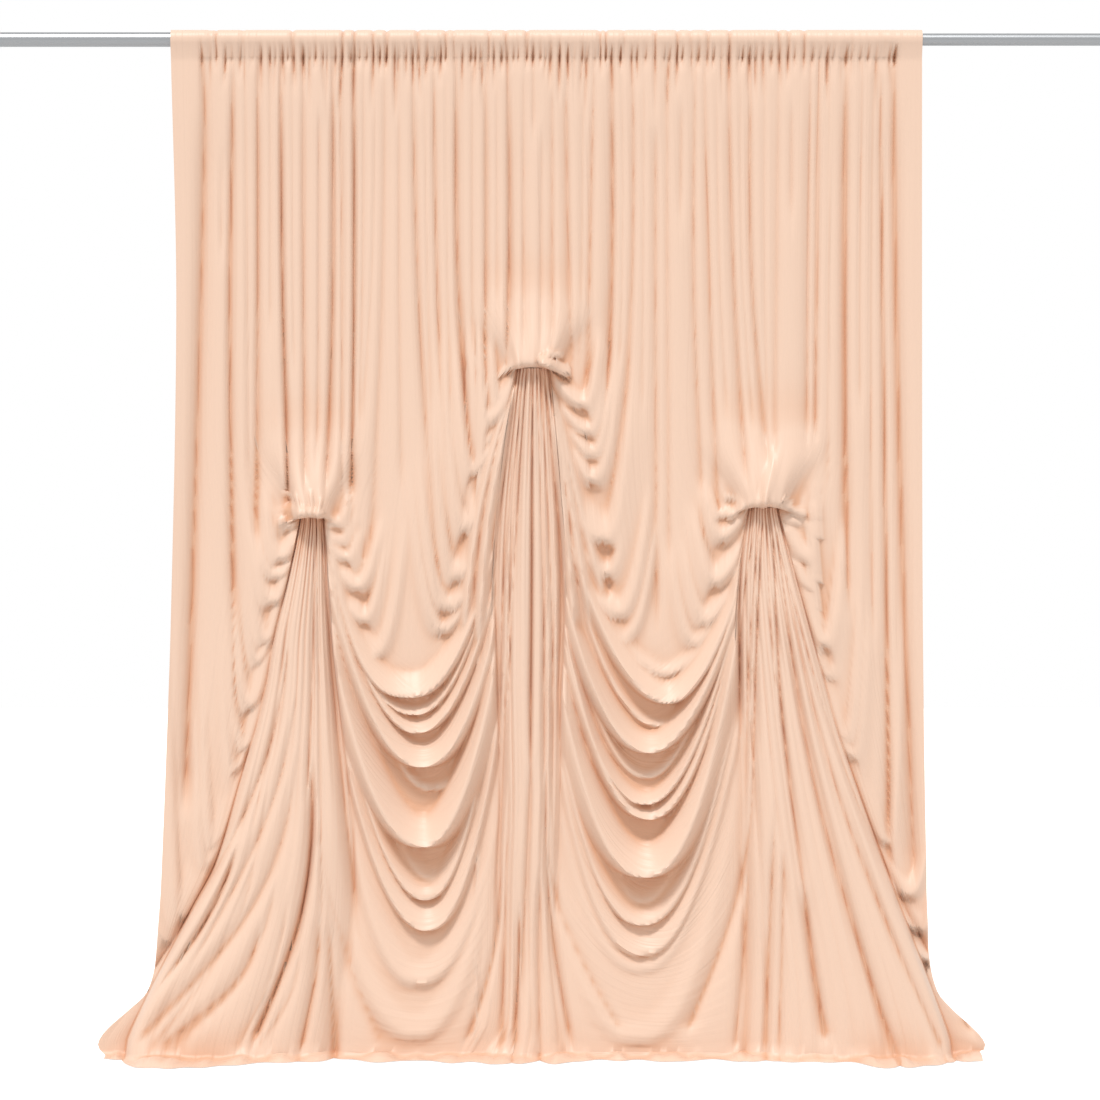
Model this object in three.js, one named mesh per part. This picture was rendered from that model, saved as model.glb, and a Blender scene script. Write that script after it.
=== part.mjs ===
// A spandex backdrop curtain on its crossbar. The cloth is one panel, gathered on the bar by a
// rod pocket and drawn together at three ties, so that it blouses over each tie, swags between
// them, fans out below them and lies a little on the floor. Millimetres, +Z up, front towards -Y.
import * as THREE from 'three';

// Crossbar: two aluminium tubes, one sliding in the other.
const BAR_LENGTH = 3050;
const BAR_AXIS_HEIGHT = 2655;
const OUTER_TUBE_DIAMETER = 38;
const OUTER_TUBE_BORE = 32.8;
const INNER_TUBE_DIAMETER = 32;
const INNER_TUBE_BORE = 28;
const TUBE_END_WALL = 3;
const TUBE_OVERLAP = 300;
const TUBE_SIDES = 48;

// Cloth panel and its rod pocket.
const CLOTH_THICKNESS = 2.4;
const STEEPEST_SHARE = 0.4;
const SEAM_HEIGHT = 2610;
const SEAM_DEPTH = 8;
const SEAM_TAIL = 12;
const POCKET_GAP = 0.4;
const POCKET_POINTS = 8;
const POCKET_TURN_DEGREES = 220;
const POCKET_RUFFLE = 5;
const GATHER_SHARE_AT_SEAM = 0.2;
const GATHER_OPENING = 320;

// Ridges between pleats stand out by a share of their width. A pleat fades out over a length
// around its low end, and the flat side hems bulge a little.
const RIDGE_SHARE = 0.14;
const PLEAT_FADE = 260;
const HEM_BULGE = 6;

// Fans: how far they stand out behind the neck and at the foot, and how deep their furrows are.
const FAN_SWELL_AT_NECK = 10;
const FAN_SWELL_BELOW_NECK = 30;
const FAN_SWELL_AT_FOOT = 80;
const FAN_EDGE_ROUNDING = 26;
const FURROW_AT_NECK = 10;
const FURROW_AT_FOOT = 46;

// Pouches: how far they stand out, how far the lip droops at both ends, how sharply it turns
// under, and where the cloth starts to draw in above it, in rises of the pouch.
const POUCH_SWELL = 62;
const POUCH_LIP_DROOP = 34;
const POUCH_DROP = 16;
const POUCH_SHOULDER = 1.5;
const DRAW_START = 1.9;
const DRAW_LENGTH = 1.4;
const NECK_BELOW_LIP = 26;

// Hem: the cloth turns forward over the floor in a bend, further on a ridge than in a valley.
const HEM_BEND_RADIUS = 38;
const HEM_TURN_LENGTH = 10;
const HEM_RUN_IN_VALLEY = 0.55;

// Valleys of the main pleats, from left to right: place at the seam and half way down, depth, and
// how low the pleat runs. The pleats marked as an edge run on down the edges of the fans.
const PLEAT_MIDDLE_HEIGHT = 1980;
const PLEATS = [
  { seam: -890, middle: -905, depth: 30, low: 350 },
  { seam: -850, middle: -862, depth: 14, low: 900 },
  { seam: -818, middle: -828, depth: 26, low: 770 },
  { seam: -755, middle: -755, depth: 24, low: 1440, edge: 0 },
  { seam: -695, middle: -690, depth: 18, low: 1400 },
  { seam: -635, middle: -635, depth: 20, low: 1400 },
  { seam: -560, middle: -560, depth: 28, low: 1400 },
  { seam: -478, middle: -500, depth: 22, low: 1440, edge: 1 },
  { seam: -423, middle: -430, depth: 18, low: 1150 },
  { seam: -350, middle: -335, depth: 22, low: 1080 },
  { seam: -295, middle: -285, depth: 22, low: 1200 },
  { seam: -235, middle: -230, depth: 26, low: 1450 },
  { seam: -160, middle: -160, depth: 22, low: 1830, edge: 2 },
  { seam: -103, middle: -100, depth: 26, low: 1790 },
  { seam: -60, middle: -60, depth: 16, low: 1790 },
  { seam: -10, middle: -15, depth: 16, low: 1790 },
  { seam: 50, middle: 72, depth: 24, low: 1830, edge: 3 },
  { seam: 125, middle: 116, depth: 20, low: 1700 },
  { seam: 170, middle: 170, depth: 26, low: 1480 },
  { seam: 225, middle: 222, depth: 20, low: 1200 },
  { seam: 285, middle: 285, depth: 18, low: 1100 },
  { seam: 355, middle: 352, depth: 16, low: 1200 },
  { seam: 412, middle: 432, depth: 20, low: 1460, edge: 4 },
  { seam: 475, middle: 492, depth: 22, low: 1430 },
  { seam: 535, middle: 540, depth: 22, low: 1430 },
  { seam: 590, middle: 590, depth: 18, low: 1430 },
  { seam: 640, middle: 640, depth: 14, low: 1430 },
  { seam: 712, middle: 700, depth: 24, low: 1460, edge: 5 },
  { seam: 785, middle: 780, depth: 30, low: 1000 },
  { seam: 855, middle: 850, depth: 18, low: 900 },
  { seam: 908, middle: 915, depth: 30, low: 420 },
];

// Side hems, as far from the middle as they hang at each height.
const SIDE_HEMS = [
  { height: 2610, left: -980, right: 980 },
  { height: 1980, left: -966, right: 980 },
  { height: 1150, left: -980, right: 982 },
  { height: 575, left: -1000, right: 990 },
  { height: 280, left: -1018, right: 998 },
  { height: 170, left: -1040, right: 1016 },
  { height: 110, left: -1100, right: 1060 },
  { height: 50, left: -1165, right: 1115 },
  { height: 0, left: -1170, right: 1145 },
];

// The three ties: place and height of the lip, half width of the pouch and of the neck, rise of
// the pouch, and the left and right edge of the fan below: two places on its way, and its foot.
const TIES = [
  {
    x: -617, height: 1412, pouch: 108, neck: 34, rise: 95,
    left: [{ height: 1100, x: -672 }, { height: 735, x: -737 }, { height: 420, x: -850 },
      { height: 60, x: -1060 }, { height: 0, x: -1080 }],
    right: [{ height: 1100, x: -566 }, { height: 705, x: -522 }, { height: 300, x: -445 },
      { height: 0, x: -395 }],
  },
  {
    x: -40, height: 1800, pouch: 118, neck: 46, rise: 85,
    left: [{ height: 1460, x: -168 }, { height: 1150, x: -212 }, { height: 575, x: -222 },
      { height: 0, x: -340 }],
    right: [{ height: 1460, x: 78 }, { height: 1150, x: 140 }, { height: 575, x: 128 },
      { height: 0, x: 165 }],
  },
  {
    x: 563, height: 1437, pouch: 118, neck: 44, rise: 90,
    left: [{ height: 1190, x: 450 }, { height: 820, x: 425 }, { height: 400, x: 372 },
      { height: 0, x: 255 }],
    right: [{ height: 1095, x: 695 }, { height: 830, x: 768 }, { height: 445, x: 905 },
      { height: 60, x: 1050 }, { height: 0, x: 1060 }],
  },
];

// Rows across the cloth, from the seam to the floor. The rows hang as the cloth does, so the lower
// edges of the swags and the creases under them lie on rows. Each row gives its height at the left
// hem, along the three fans, at the lowest point of both bays between them and at the right hem,
// and then how far the cloth stands out on it: beside the left fan, in both bays, and beside the
// right fan.
const ROW_COLUMNS = ['hemLeft', 'tie1', 'bay1', 'tie2', 'bay2', 'tie3', 'hemRight',
  'outLeft', 'outBay1', 'outBay2', 'outRight'];
const ROWS = [
  [2598, 2598, 2598, 2598, 2598, 2598, 2598, 0, 0, 0, 0],
  [2280, 2280, 2280, 2300, 2280, 2280, 2280, 0, 0, 0, 0],
  [1980, 1930, 1930, 2030, 1930, 1930, 1980, 0, 0, 0, 0],
  [1700, 1640, 1640, 1925, 1640, 1660, 1700, 0, 0, 0, 0],
  [1570, 1560, 1480, 1892, 1480, 1580, 1570, 0, 0, 0, 0],
  [1480, 1510, 1365, 1862, 1365, 1536, 1480, 0, 0, 0, 0],
  [1400, 1468, 1270, 1836, 1270, 1494, 1400, 4, 2, 2, 4],
  [1320, 1432, 1190, 1814, 1190, 1457, 1320, 10, 4, 4, 8],
  [1280, 1410, 1140, 1797, 1140, 1435, 1280, 12, 6, 6, 10],
  [1235, 1386, 1085, 1772, 1085, 1411, 1235, 24, 12, 12, 22],
  [1170, 1350, 1025, 1700, 1020, 1374, 1170, 30, 26, 26, 28],
  [1110, 1305, 955, 1610, 945, 1330, 1110, 6, 56, 56, 8],
  [1050, 1262, 925, 1530, 915, 1288, 1050, 34, 12, 12, 16],
  [990, 1215, 888, 1450, 868, 1240, 990, 8, 38, 36, 30],
  [930, 1165, 854, 1375, 818, 1190, 930, 16, 46, 50, 10],
  [870, 1115, 826, 1300, 788, 1140, 870, 32, 12, 12, 14],
  [810, 1060, 796, 1225, 740, 1085, 810, 8, 34, 36, 22],
  [750, 1000, 769, 1150, 694, 1025, 750, 14, 56, 54, 32],
  [690, 935, 740, 1065, 666, 955, 690, 32, 14, 14, 10],
  [625, 865, 690, 980, 610, 880, 625, 10, 38, 38, 16],
  [560, 790, 630, 890, 552, 800, 560, 18, 54, 56, 24],
  [500, 715, 576, 800, 498, 720, 500, 24, 62, 62, 34],
  [440, 640, 545, 710, 466, 640, 440, 34, 18, 16, 12],
  [380, 560, 478, 615, 402, 560, 380, 10, 32, 34, 20],
  [320, 475, 405, 515, 340, 475, 320, 20, 42, 42, 26],
  [260, 385, 339, 410, 289, 385, 260, 34, 46, 46, 36],
  [200, 295, 305, 310, 256, 295, 200, 14, 20, 18, 14],
  [145, 200, 210, 205, 180, 200, 145, 24, 30, 30, 24],
  [92, 115, 118, 118, 108, 115, 92, 34, 38, 38, 34],
  [45, 45, 45, 45, 45, 45, 45, 44, 44, 44, 44],
].map((values) => Object.fromEntries(values.map((value, i) => [ROW_COLUMNS[i], value])));
const SAG_POWER = 2.3;
const OUTER_SAG_POWER = 1.6;
const SIDE_SPREAD_FROM = 1500;
const SIDE_SPREAD_LENGTH = 900;
const FLOOR_ROWS = 2;
const COLUMN_GAP = 3;

// How far the hem runs forward over the floor, from the left side to the right.
const HEM_RUN = [
  { x: -1170, run: 60 },
  { x: -1000, run: 95 },
  { x: -860, run: 120 },
  { x: -740, run: 70 },
  { x: -560, run: 45 },
  { x: -400, run: 60 },
  { x: -200, run: 85 },
  { x: -60, run: 95 },
  { x: 130, run: 60 },
  { x: 300, run: 55 },
  { x: 560, run: 50 },
  { x: 740, run: 45 },
  { x: 860, run: 120 },
  { x: 1000, run: 100 },
  { x: 1150, run: 70 },
];

const CLOTH = { name: 'spandex', color: 0xf2cbab, roughness: 0.55, metalness: 0 };
const ALUMINIUM = { name: 'aluminium', color: 0xb4b6b8, roughness: 0.35, metalness: 1 };

function smooth(value) {
  const t = THREE.MathUtils.clamp(value, 0, 1);
  return t * t * (3 - 2 * t);
}

function softMax(a, b, softness) {
  const h = THREE.MathUtils.clamp(0.5 + (0.5 * (a - b)) / softness, 0, 1);
  return b * (1 - h) + a * h + softness * h * (1 - h);
}

// The value of one column of a table at a place between its rows, on a smooth line through them.
function along(rows, key, place, column) {
  const sorted = rows[0][key] < rows[rows.length - 1][key] ? rows : [...rows].reverse();
  const last = sorted.length - 1;
  if (place <= sorted[0][key]) return sorted[0][column];
  if (place >= sorted[last][key]) return sorted[last][column];
  let i = 0;
  while (place > sorted[i + 1][key]) i += 1;
  const slope = (a, b) => (sorted[b][column] - sorted[a][column]) / (sorted[b][key] - sorted[a][key]);
  const span = sorted[i + 1][key] - sorted[i][key];
  const t = (place - sorted[i][key]) / span;
  const from = slope(Math.max(i - 1, 0), i + 1) * span;
  const to = slope(i, Math.min(i + 2, last)) * span;
  return (2 * t ** 3 - 3 * t ** 2 + 1) * sorted[i][column] + (t ** 3 - 2 * t ** 2 + t) * from
    + (3 * t ** 2 - 2 * t ** 3) * sorted[i + 1][column] + (t ** 3 - t ** 2) * to;
}

// One edge of a fan, from the seam to the floor: straight down its pleat, in under the pouch to
// the neck, and out again to its foot.
function edgeLine(pleat, tie, side) {
  const sign = side === 'left' ? -1 : 1;
  return [
    { height: SEAM_HEIGHT, x: pleat.seam },
    { height: PLEAT_MIDDLE_HEIGHT, x: pleat.middle },
    { height: tie.height + DRAW_START * tie.rise, x: pleat.middle },
    { height: tie.height + 0.5 * tie.rise, x: tie.x + sign * tie.pouch },
    { height: tie.height, x: tie.x + sign * 0.8 * tie.pouch },
    { height: tie.height - NECK_BELOW_LIP, x: tie.x + sign * tie.neck },
    ...tie[side],
  ];
}

// The lines that part the cloth into left side, fans, bays and right side.
const edgePleats = PLEATS.filter((pleat) => pleat.edge !== undefined);
const DIVIDERS = [
  SIDE_HEMS.map((hem) => ({ height: hem.height, x: hem.left })),
  ...TIES.flatMap((tie, i) => [
    edgeLine(edgePleats[2 * i], tie, 'left'),
    edgeLine(edgePleats[2 * i + 1], tie, 'right'),
  ]),
  SIDE_HEMS.map((hem) => ({ height: hem.height, x: hem.right })),
];

// Columns down the cloth: both side hems, a point on each flat hem, the valleys of the pleats, and
// a ridge between each pair of valleys.
function makeColumns() {
  const [seamHem, middleHem] = SIDE_HEMS;
  const hemLeft = { seam: seamHem.left, middle: middleHem.left, depth: 0, low: 0 };
  const hemRight = { seam: seamHem.right, middle: middleHem.right, depth: 0, low: 0 };
  const halfway = (a, b, depth) => ({
    seam: (a.seam + b.seam) / 2,
    middle: (a.middle + b.middle) / 2,
    depth,
    low: Math.min(a.low, b.low),
  });
  const columns = [hemLeft, halfway(hemLeft, PLEATS[0], -HEM_BULGE)];
  PLEATS.forEach((pleat, i) => {
    columns.push({ ...pleat, valley: true });
    const next = PLEATS[i + 1];
    if (next) columns.push(halfway(pleat, next, -RIDGE_SHARE * (next.seam - pleat.seam)));
  });
  columns.push(halfway(PLEATS[PLEATS.length - 1], hemRight, -HEM_BULGE), hemRight);

  // Each column keeps its share of the way between the dividers on its two sides.
  const dividerColumns = [0];
  columns.forEach((column, c) => {
    if (column.edge !== undefined) dividerColumns.push(c);
  });
  dividerColumns.push(columns.length - 1);
  columns.forEach((column, c) => {
    let part = 0;
    while (c > dividerColumns[part + 1]) part += 1;
    column.part = part;
    column.share = (c - dividerColumns[part]) / (dividerColumns[part + 1] - dividerColumns[part]);
  });
  return columns;
}

// How much a divider has left its straight pleat at a height.
function drawnIn(divider, height) {
  if (divider === 0 || divider === DIVIDERS.length - 1) {
    return smooth((SIDE_SPREAD_FROM - height) / SIDE_SPREAD_LENGTH);
  }
  const tie = TIES[Math.floor((divider - 1) / 2)];
  return smooth((tie.height + DRAW_START * tie.rise - height) / (DRAW_LENGTH * tie.rise));
}

// Where a column runs at a height.
function columnX(column, height) {
  const line = [
    { height: SEAM_HEIGHT, x: column.seam },
    { height: PLEAT_MIDDLE_HEIGHT, x: column.middle },
  ];
  const straight = along(line, 'height', height, 'x');
  const left = along(DIVIDERS[column.part], 'height', height, 'x');
  const right = along(DIVIDERS[column.part + 1], 'height', height, 'x');
  const shared = THREE.MathUtils.lerp(left, right, column.share);
  const drawn = THREE.MathUtils.lerp(
    drawnIn(column.part, height),
    drawnIn(column.part + 1, height),
    column.share,
  );
  return THREE.MathUtils.lerp(straight, shared, drawn);
}

// The height of a row at a column: level along each fan, sagging across the bays between them and
// out to the side hems.
function rowHeight(row, column) {
  const outer = (hem, tie, fromHem) => hem + (tie - hem) * fromHem ** OUTER_SAG_POWER;
  const sagging = (left, low, right) => {
    const end = column.share < 0.5 ? left : right;
    return low + (end - low) * Math.abs(2 * column.share - 1) ** SAG_POWER;
  };
  return [
    () => outer(row.hemLeft, row.tie1, column.share),
    () => row.tie1,
    () => sagging(row.tie1, row.bay1, row.tie2),
    () => row.tie2,
    () => sagging(row.tie2, row.bay2, row.tie3),
    () => row.tie3,
    () => outer(row.hemRight, row.tie3, 1 - column.share),
  ][column.part]();
}

// How far the swags and cowls stand out on a row at a column. They sink towards the fans' edges,
// and the cowls beside the outer fans fade out towards the side hems.
function foldDepth(row, column) {
  const cowl = (out, fromHem) => out * smooth(fromHem / 0.5) * (1 - 0.7 * smooth((fromHem - 0.85) / 0.15));
  const swag = (out) => out * (1 - 0.75 * Math.abs(2 * column.share - 1) ** 4);
  if (column.part === 0) return cowl(row.outLeft, column.share);
  if (column.part === 2) return swag(row.outBay1);
  if (column.part === 4) return swag(row.outBay2);
  if (column.part === 6) return cowl(row.outRight, 1 - column.share);
  return 0;
}

// The fan below a tie: full in its middle, falling away to both of its edges, with a furrow at
// each valley.
function fanDepth(x, height, column) {
  if (column.part % 2 === 0) return 0;
  const tie = TIES[(column.part - 1) / 2];
  const fall = (tie.height - height) / tie.height;
  if (fall <= 0) return 0;
  const left = along(DIVIDERS[column.part], 'height', height, 'x');
  const right = along(DIVIDERS[column.part + 1], 'height', height, 'x');
  const inside = Math.min(x - left, right - x);
  const body = FAN_SWELL_AT_NECK + FAN_SWELL_BELOW_NECK * smooth(fall / 0.2) + FAN_SWELL_AT_FOOT * fall;
  const furrow = THREE.MathUtils.lerp(FURROW_AT_NECK, FURROW_AT_FOOT, smooth(fall / 0.7));
  const full = body * (1 - Math.exp(-Math.max(inside, 0) / FAN_EDGE_ROUNDING));
  return column.valley ? Math.max(full - furrow * (0.6 + 0.02 * column.depth), 0) : full;
}

// The pouch that blouses over a tie, with its lip below.
function pouchDepth(x, height, tie) {
  const across = (x - tie.x) / tie.pouch;
  if (Math.abs(across) >= 1) return 0;
  const above = height - (tie.height - POUCH_LIP_DROOP * across ** 2);
  const swell = POUCH_SWELL * Math.sqrt(1 - across ** 2);
  if (above < 0) return swell * (1 - smooth(-above / POUCH_DROP));
  return swell * Math.cos(0.5 * Math.PI * Math.min(above / (POUCH_SHOULDER * tie.rise), 1));
}

// How far the front of the cloth stands towards the viewer at a height on a column.
function clothDepth(column, x, height, folds) {
  const opened = smooth((SEAM_HEIGHT - height) / GATHER_OPENING);
  const opening = THREE.MathUtils.lerp(GATHER_SHARE_AT_SEAM, 1, opened);
  const pleat = -column.depth * opening * smooth((height - column.low) / PLEAT_FADE + 0.5);
  let depth = Math.max(pleat + folds, fanDepth(x, height, column));
  for (const tie of TIES) depth = softMax(depth, pouchDepth(x, height, tie), 3);
  return SEAM_DEPTH + depth;
}

// A point on the front of the cloth, for a length measured along it above the floor, with the
// direction to its back. Below the bend of the hem the length turns forward and lies on the floor.
function frontPoint(column, x, length, folds) {
  if (length >= HEM_BEND_RADIUS) {
    const point = new THREE.Vector3(x, -clothDepth(column, x, length, folds), length);
    return { point, inward: new THREE.Vector3(0, 1, 0) };
  }
  const depth = clothDepth(column, columnX(column, HEM_BEND_RADIUS), HEM_BEND_RADIUS, folds);
  const turned = HEM_BEND_RADIUS - length;
  const bend = Math.min(turned / HEM_BEND_RADIUS, Math.PI / 2);
  const flat = Math.max(turned - (HEM_BEND_RADIUS * Math.PI) / 2, 0);
  const forward = HEM_BEND_RADIUS * (1 - Math.cos(bend)) + flat;
  const height = HEM_BEND_RADIUS * (1 - Math.sin(bend)) + CLOTH_THICKNESS;
  const point = new THREE.Vector3(x, -depth - forward, height);
  return { point, inward: new THREE.Vector3(0, Math.cos(bend), -Math.sin(bend)) };
}

// Where a row crosses the columns. Where it drops steeply past a neck, its points are kept in
// order between the dividers.
function rowPlaces(columns, heights) {
  const places = columns.map((column, c) => columnX(column, heights[c]));
  const last = places.length - 1;
  const held = columns.map((column, c) => column.edge !== undefined || c === 0 || c === last);
  for (let c = 1; c < last; c += 1) {
    if (!held[c]) places[c] = Math.max(places[c], places[c - 1] + COLUMN_GAP);
  }
  for (let c = last - 1; c > 0; c -= 1) {
    if (!held[c]) places[c] = Math.min(places[c], places[c + 1] - COLUMN_GAP);
  }
  return places;
}

function panelRows(columns) {
  const rows = ROWS.map((row) => {
    const heights = columns.map((column) => rowHeight(row, column));
    const places = rowPlaces(columns, heights);
    return columns.map((column, c) => frontPoint(column, places[c], heights[c], foldDepth(row, column)));
  });
  const lowest = ROWS[ROWS.length - 1];
  for (let i = 1; i <= FLOOR_ROWS; i += 1) {
    rows.push(columns.map((column) => {
      const run = along(HEM_RUN, 'x', columnX(column, 0), 'run') * (column.valley ? HEM_RUN_IN_VALLEY : 1);
      const length = THREE.MathUtils.lerp(HEM_TURN_LENGTH, -run, i / FLOOR_ROWS);
      return frontPoint(column, columnX(column, Math.max(length, 0)), length, foldDepth(lowest, column));
    }));
  }
  return rows;
}

// The back of the rows: the front moved straight in, further where the cloth is steep, so that the
// thickness across the surface stays the same and the two sides never cross.
function backRows(rows) {
  return rows.map((row, r) => row.map(({ point, inward }, c) => {
    const above = rows[Math.max(r - 1, 0)][c].point;
    const below = rows[Math.min(r + 1, rows.length - 1)][c].point;
    const left = row[Math.max(c - 1, 0)].point;
    const right = row[Math.min(c + 1, row.length - 1)].point;
    const down = new THREE.Vector3().subVectors(below, above);
    const across = new THREE.Vector3().subVectors(right, left);
    const normal = new THREE.Vector3().crossVectors(down, across).normalize();
    const share = Math.max(Math.abs(normal.dot(inward)), STEEPEST_SHARE);
    const back = point.clone().addScaledVector(inward, CLOTH_THICKNESS / share);
    back.z = Math.max(back.z, 0);
    return back;
  }));
}

// One line around the bar in the plane of a column, from the seam up the front, over the bar and
// down the back to the seam again.
function pocketLine(x, ruffle, offset) {
  const step = THREE.MathUtils.degToRad(POCKET_TURN_DEGREES / (POCKET_POINTS - 1));
  const start = THREE.MathUtils.degToRad((180 - POCKET_TURN_DEGREES) / 2);
  const radius = (OUTER_TUBE_DIAMETER / 2 + POCKET_GAP) / Math.cos(step / 2) + offset;
  const points = [];
  for (let i = 0; i < POCKET_POINTS; i += 1) {
    const angle = start + i * step;
    const side = Math.abs(Math.cos(angle)) * ruffle;
    points.push(new THREE.Vector3(
      x,
      -(radius + side) * Math.cos(angle),
      BAR_AXIS_HEIGHT + radius * Math.sin(angle),
    ));
  }
  return points;
}

// The whole cloth as stations: lines of points from the left hem to the right one. Strips join
// neighbouring stations, and the two side hems are closed by quads.
function makeCurtain() {
  const columns = makeColumns();
  const net = panelRows(columns);
  const front = net.map((row) => row.map(({ point }) => point));
  const back = backRows(net);
  const stations = [];
  const add = (row) => stations.push(row) - 1;
  const moved = (row, y, z) => row.map((point) => new THREE.Vector3(point.x, point.y + y, z));

  const frontIds = front.map(add);
  const backIds = back.map(add);
  const seamFront = add(moved(front[0], 0, SEAM_HEIGHT));
  const seamInside = add(moved(front[0], CLOTH_THICKNESS, SEAM_HEIGHT));
  const seamBack = add(moved(front[0], 2 * CLOTH_THICKNESS, SEAM_HEIGHT));
  const tailBack = add(moved(front[0], 2 * CLOTH_THICKNESS, SEAM_HEIGHT - SEAM_TAIL));

  const ruffles = columns.map((column) => (column.valley ? 0 : POCKET_RUFFLE));
  const outerLines = columns.map((column, c) => pocketLine(column.seam, ruffles[c], CLOTH_THICKNESS));
  const innerLines = columns.map((column, c) => pocketLine(column.seam, ruffles[c], 0));
  const outerIds = [];
  const innerIds = [];
  for (let i = 0; i < POCKET_POINTS; i += 1) {
    outerIds.push(add(outerLines.map((line) => line[i])));
    innerIds.push(add(innerLines.map((line) => line[i])));
  }

  const count = columns.length;
  const indices = [];
  const quad = (a, b, c, d) => indices.push(a, b, c, a, c, d);
  const at = (station, column) => station * count + column;
  // Strips between stations in a line. The strips of the back and of the pocket's inside run the
  // other way and are split along the same diagonal as those of the front that they lie behind.
  const downStrips = (line) => {
    for (let i = 0; i < line.length - 1; i += 1) {
      const [upper, lower] = [line[i], line[i + 1]];
      for (let c = 0; c < count - 1; c += 1) {
        quad(at(upper, c), at(lower, c), at(lower, c + 1), at(upper, c + 1));
      }
    }
  };
  const upStrips = (line) => {
    for (let i = 0; i < line.length - 1; i += 1) {
      const [lower, upper] = [line[i], line[i + 1]];
      for (let c = 0; c < count - 1; c += 1) {
        quad(at(upper, c), at(upper, c + 1), at(lower, c + 1), at(lower, c));
      }
    }
  };
  const cap = (a, b, c, d) => {
    quad(at(a, 0), at(b, 0), at(c, 0), at(d, 0));
    quad(at(d, count - 1), at(c, count - 1), at(b, count - 1), at(a, count - 1));
  };

  // Over the pocket from its back to its front, and down the panel to the hem.
  downStrips([seamBack, ...[...outerIds].reverse(), seamFront, ...frontIds]);
  // Up the back of the panel to the seam.
  upStrips([frontIds[frontIds.length - 1], ...[...backIds].reverse(), tailBack, seamBack]);
  // Around the inside of the pocket.
  upStrips([seamInside, ...innerIds, seamInside]);

  // The two side hems.
  for (let i = 0; i < frontIds.length - 1; i += 1) {
    cap(frontIds[i], backIds[i], backIds[i + 1], frontIds[i + 1]);
  }
  cap(seamFront, seamInside, backIds[0], frontIds[0]);
  cap(seamInside, seamBack, tailBack, backIds[0]);
  const outerRing = [seamFront, ...outerIds, seamBack];
  const innerRing = [seamInside, ...innerIds, seamInside];
  for (let i = 0; i < outerRing.length - 1; i += 1) {
    cap(outerRing[i + 1], innerRing[i + 1], innerRing[i], outerRing[i]);
  }

  const geometry = new THREE.BufferGeometry().setFromPoints(stations.flat());
  geometry.setIndex(indices);
  geometry.computeVertexNormals();
  return geometry;
}

// A tube with one closed end, along Y from its closed end.
function makeTube(diameter, bore, length) {
  const outer = diameter / 2;
  const inner = bore / 2;
  const profile = [
    new THREE.Vector2(0, 0),
    new THREE.Vector2(outer, 0),
    new THREE.Vector2(outer, length),
    new THREE.Vector2(inner, length),
    new THREE.Vector2(inner, TUBE_END_WALL),
    new THREE.Vector2(0, TUBE_END_WALL),
  ];
  return new THREE.LatheGeometry(profile, TUBE_SIDES);
}

function named(name, geometry, material) {
  const mesh = new THREE.Mesh(geometry, new THREE.MeshStandardMaterial(material));
  mesh.name = name;
  return mesh;
}

const tubeLength = (BAR_LENGTH + TUBE_OVERLAP) / 2;
const outerTube = named(
  'crossbar_outer',
  makeTube(OUTER_TUBE_DIAMETER, OUTER_TUBE_BORE, tubeLength),
  ALUMINIUM,
);
outerTube.rotation.z = -Math.PI / 2;
outerTube.position.set(-BAR_LENGTH / 2, 0, BAR_AXIS_HEIGHT);

const innerTube = named(
  'crossbar_inner',
  makeTube(INNER_TUBE_DIAMETER, INNER_TUBE_BORE, tubeLength),
  ALUMINIUM,
);
innerTube.rotation.z = Math.PI / 2;
innerTube.position.set(BAR_LENGTH / 2, 0, BAR_AXIS_HEIGHT);

const curtain = named('curtain', makeCurtain(), CLOTH);

const model = new THREE.Group();
model.name = 'backdrop_curtain';
model.add(outerTube, innerTube, curtain);

// The origin is on the floor, under the middle of the whole.
model.updateMatrixWorld(true);
const middle = new THREE.Box3().setFromObject(model, true).getCenter(new THREE.Vector3());
model.position.set(-middle.x, -middle.y, 0);
model.updateMatrixWorld(true);

export default model;
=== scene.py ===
"""A spandex backdrop curtain, gathered on a telescoping crossbar and tied up into pouches, swags
and fans. Its shape is worked out in millimetres, with x across, z up and depth towards the viewer,
and is put in the scene in metres."""

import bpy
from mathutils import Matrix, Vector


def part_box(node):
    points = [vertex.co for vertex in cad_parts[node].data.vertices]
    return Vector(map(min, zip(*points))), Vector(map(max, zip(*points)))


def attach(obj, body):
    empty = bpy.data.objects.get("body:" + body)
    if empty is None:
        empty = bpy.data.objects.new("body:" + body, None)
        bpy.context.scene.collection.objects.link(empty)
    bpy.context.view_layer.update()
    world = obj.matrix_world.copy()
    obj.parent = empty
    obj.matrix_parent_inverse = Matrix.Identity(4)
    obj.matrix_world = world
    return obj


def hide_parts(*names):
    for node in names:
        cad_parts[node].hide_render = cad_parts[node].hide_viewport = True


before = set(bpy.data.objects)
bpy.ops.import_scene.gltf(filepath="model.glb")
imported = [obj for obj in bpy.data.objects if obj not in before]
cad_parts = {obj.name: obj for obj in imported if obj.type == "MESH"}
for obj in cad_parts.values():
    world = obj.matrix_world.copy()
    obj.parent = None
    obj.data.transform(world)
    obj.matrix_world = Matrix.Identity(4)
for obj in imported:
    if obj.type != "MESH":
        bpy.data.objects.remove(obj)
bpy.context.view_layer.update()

import math

import bmesh
import bpy
import numpy as np
from mathutils import Vector

bl_info = {
    "name": "Backdrop curtain",
    "version": (1, 0, 0),
    "blender": (4, 5, 0),
    "location": "View3D > Sidebar > Curtain",
    "description": "Builds a draped backdrop curtain on its crossbar, with a plain stage",
    "category": "Object",
}

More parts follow.
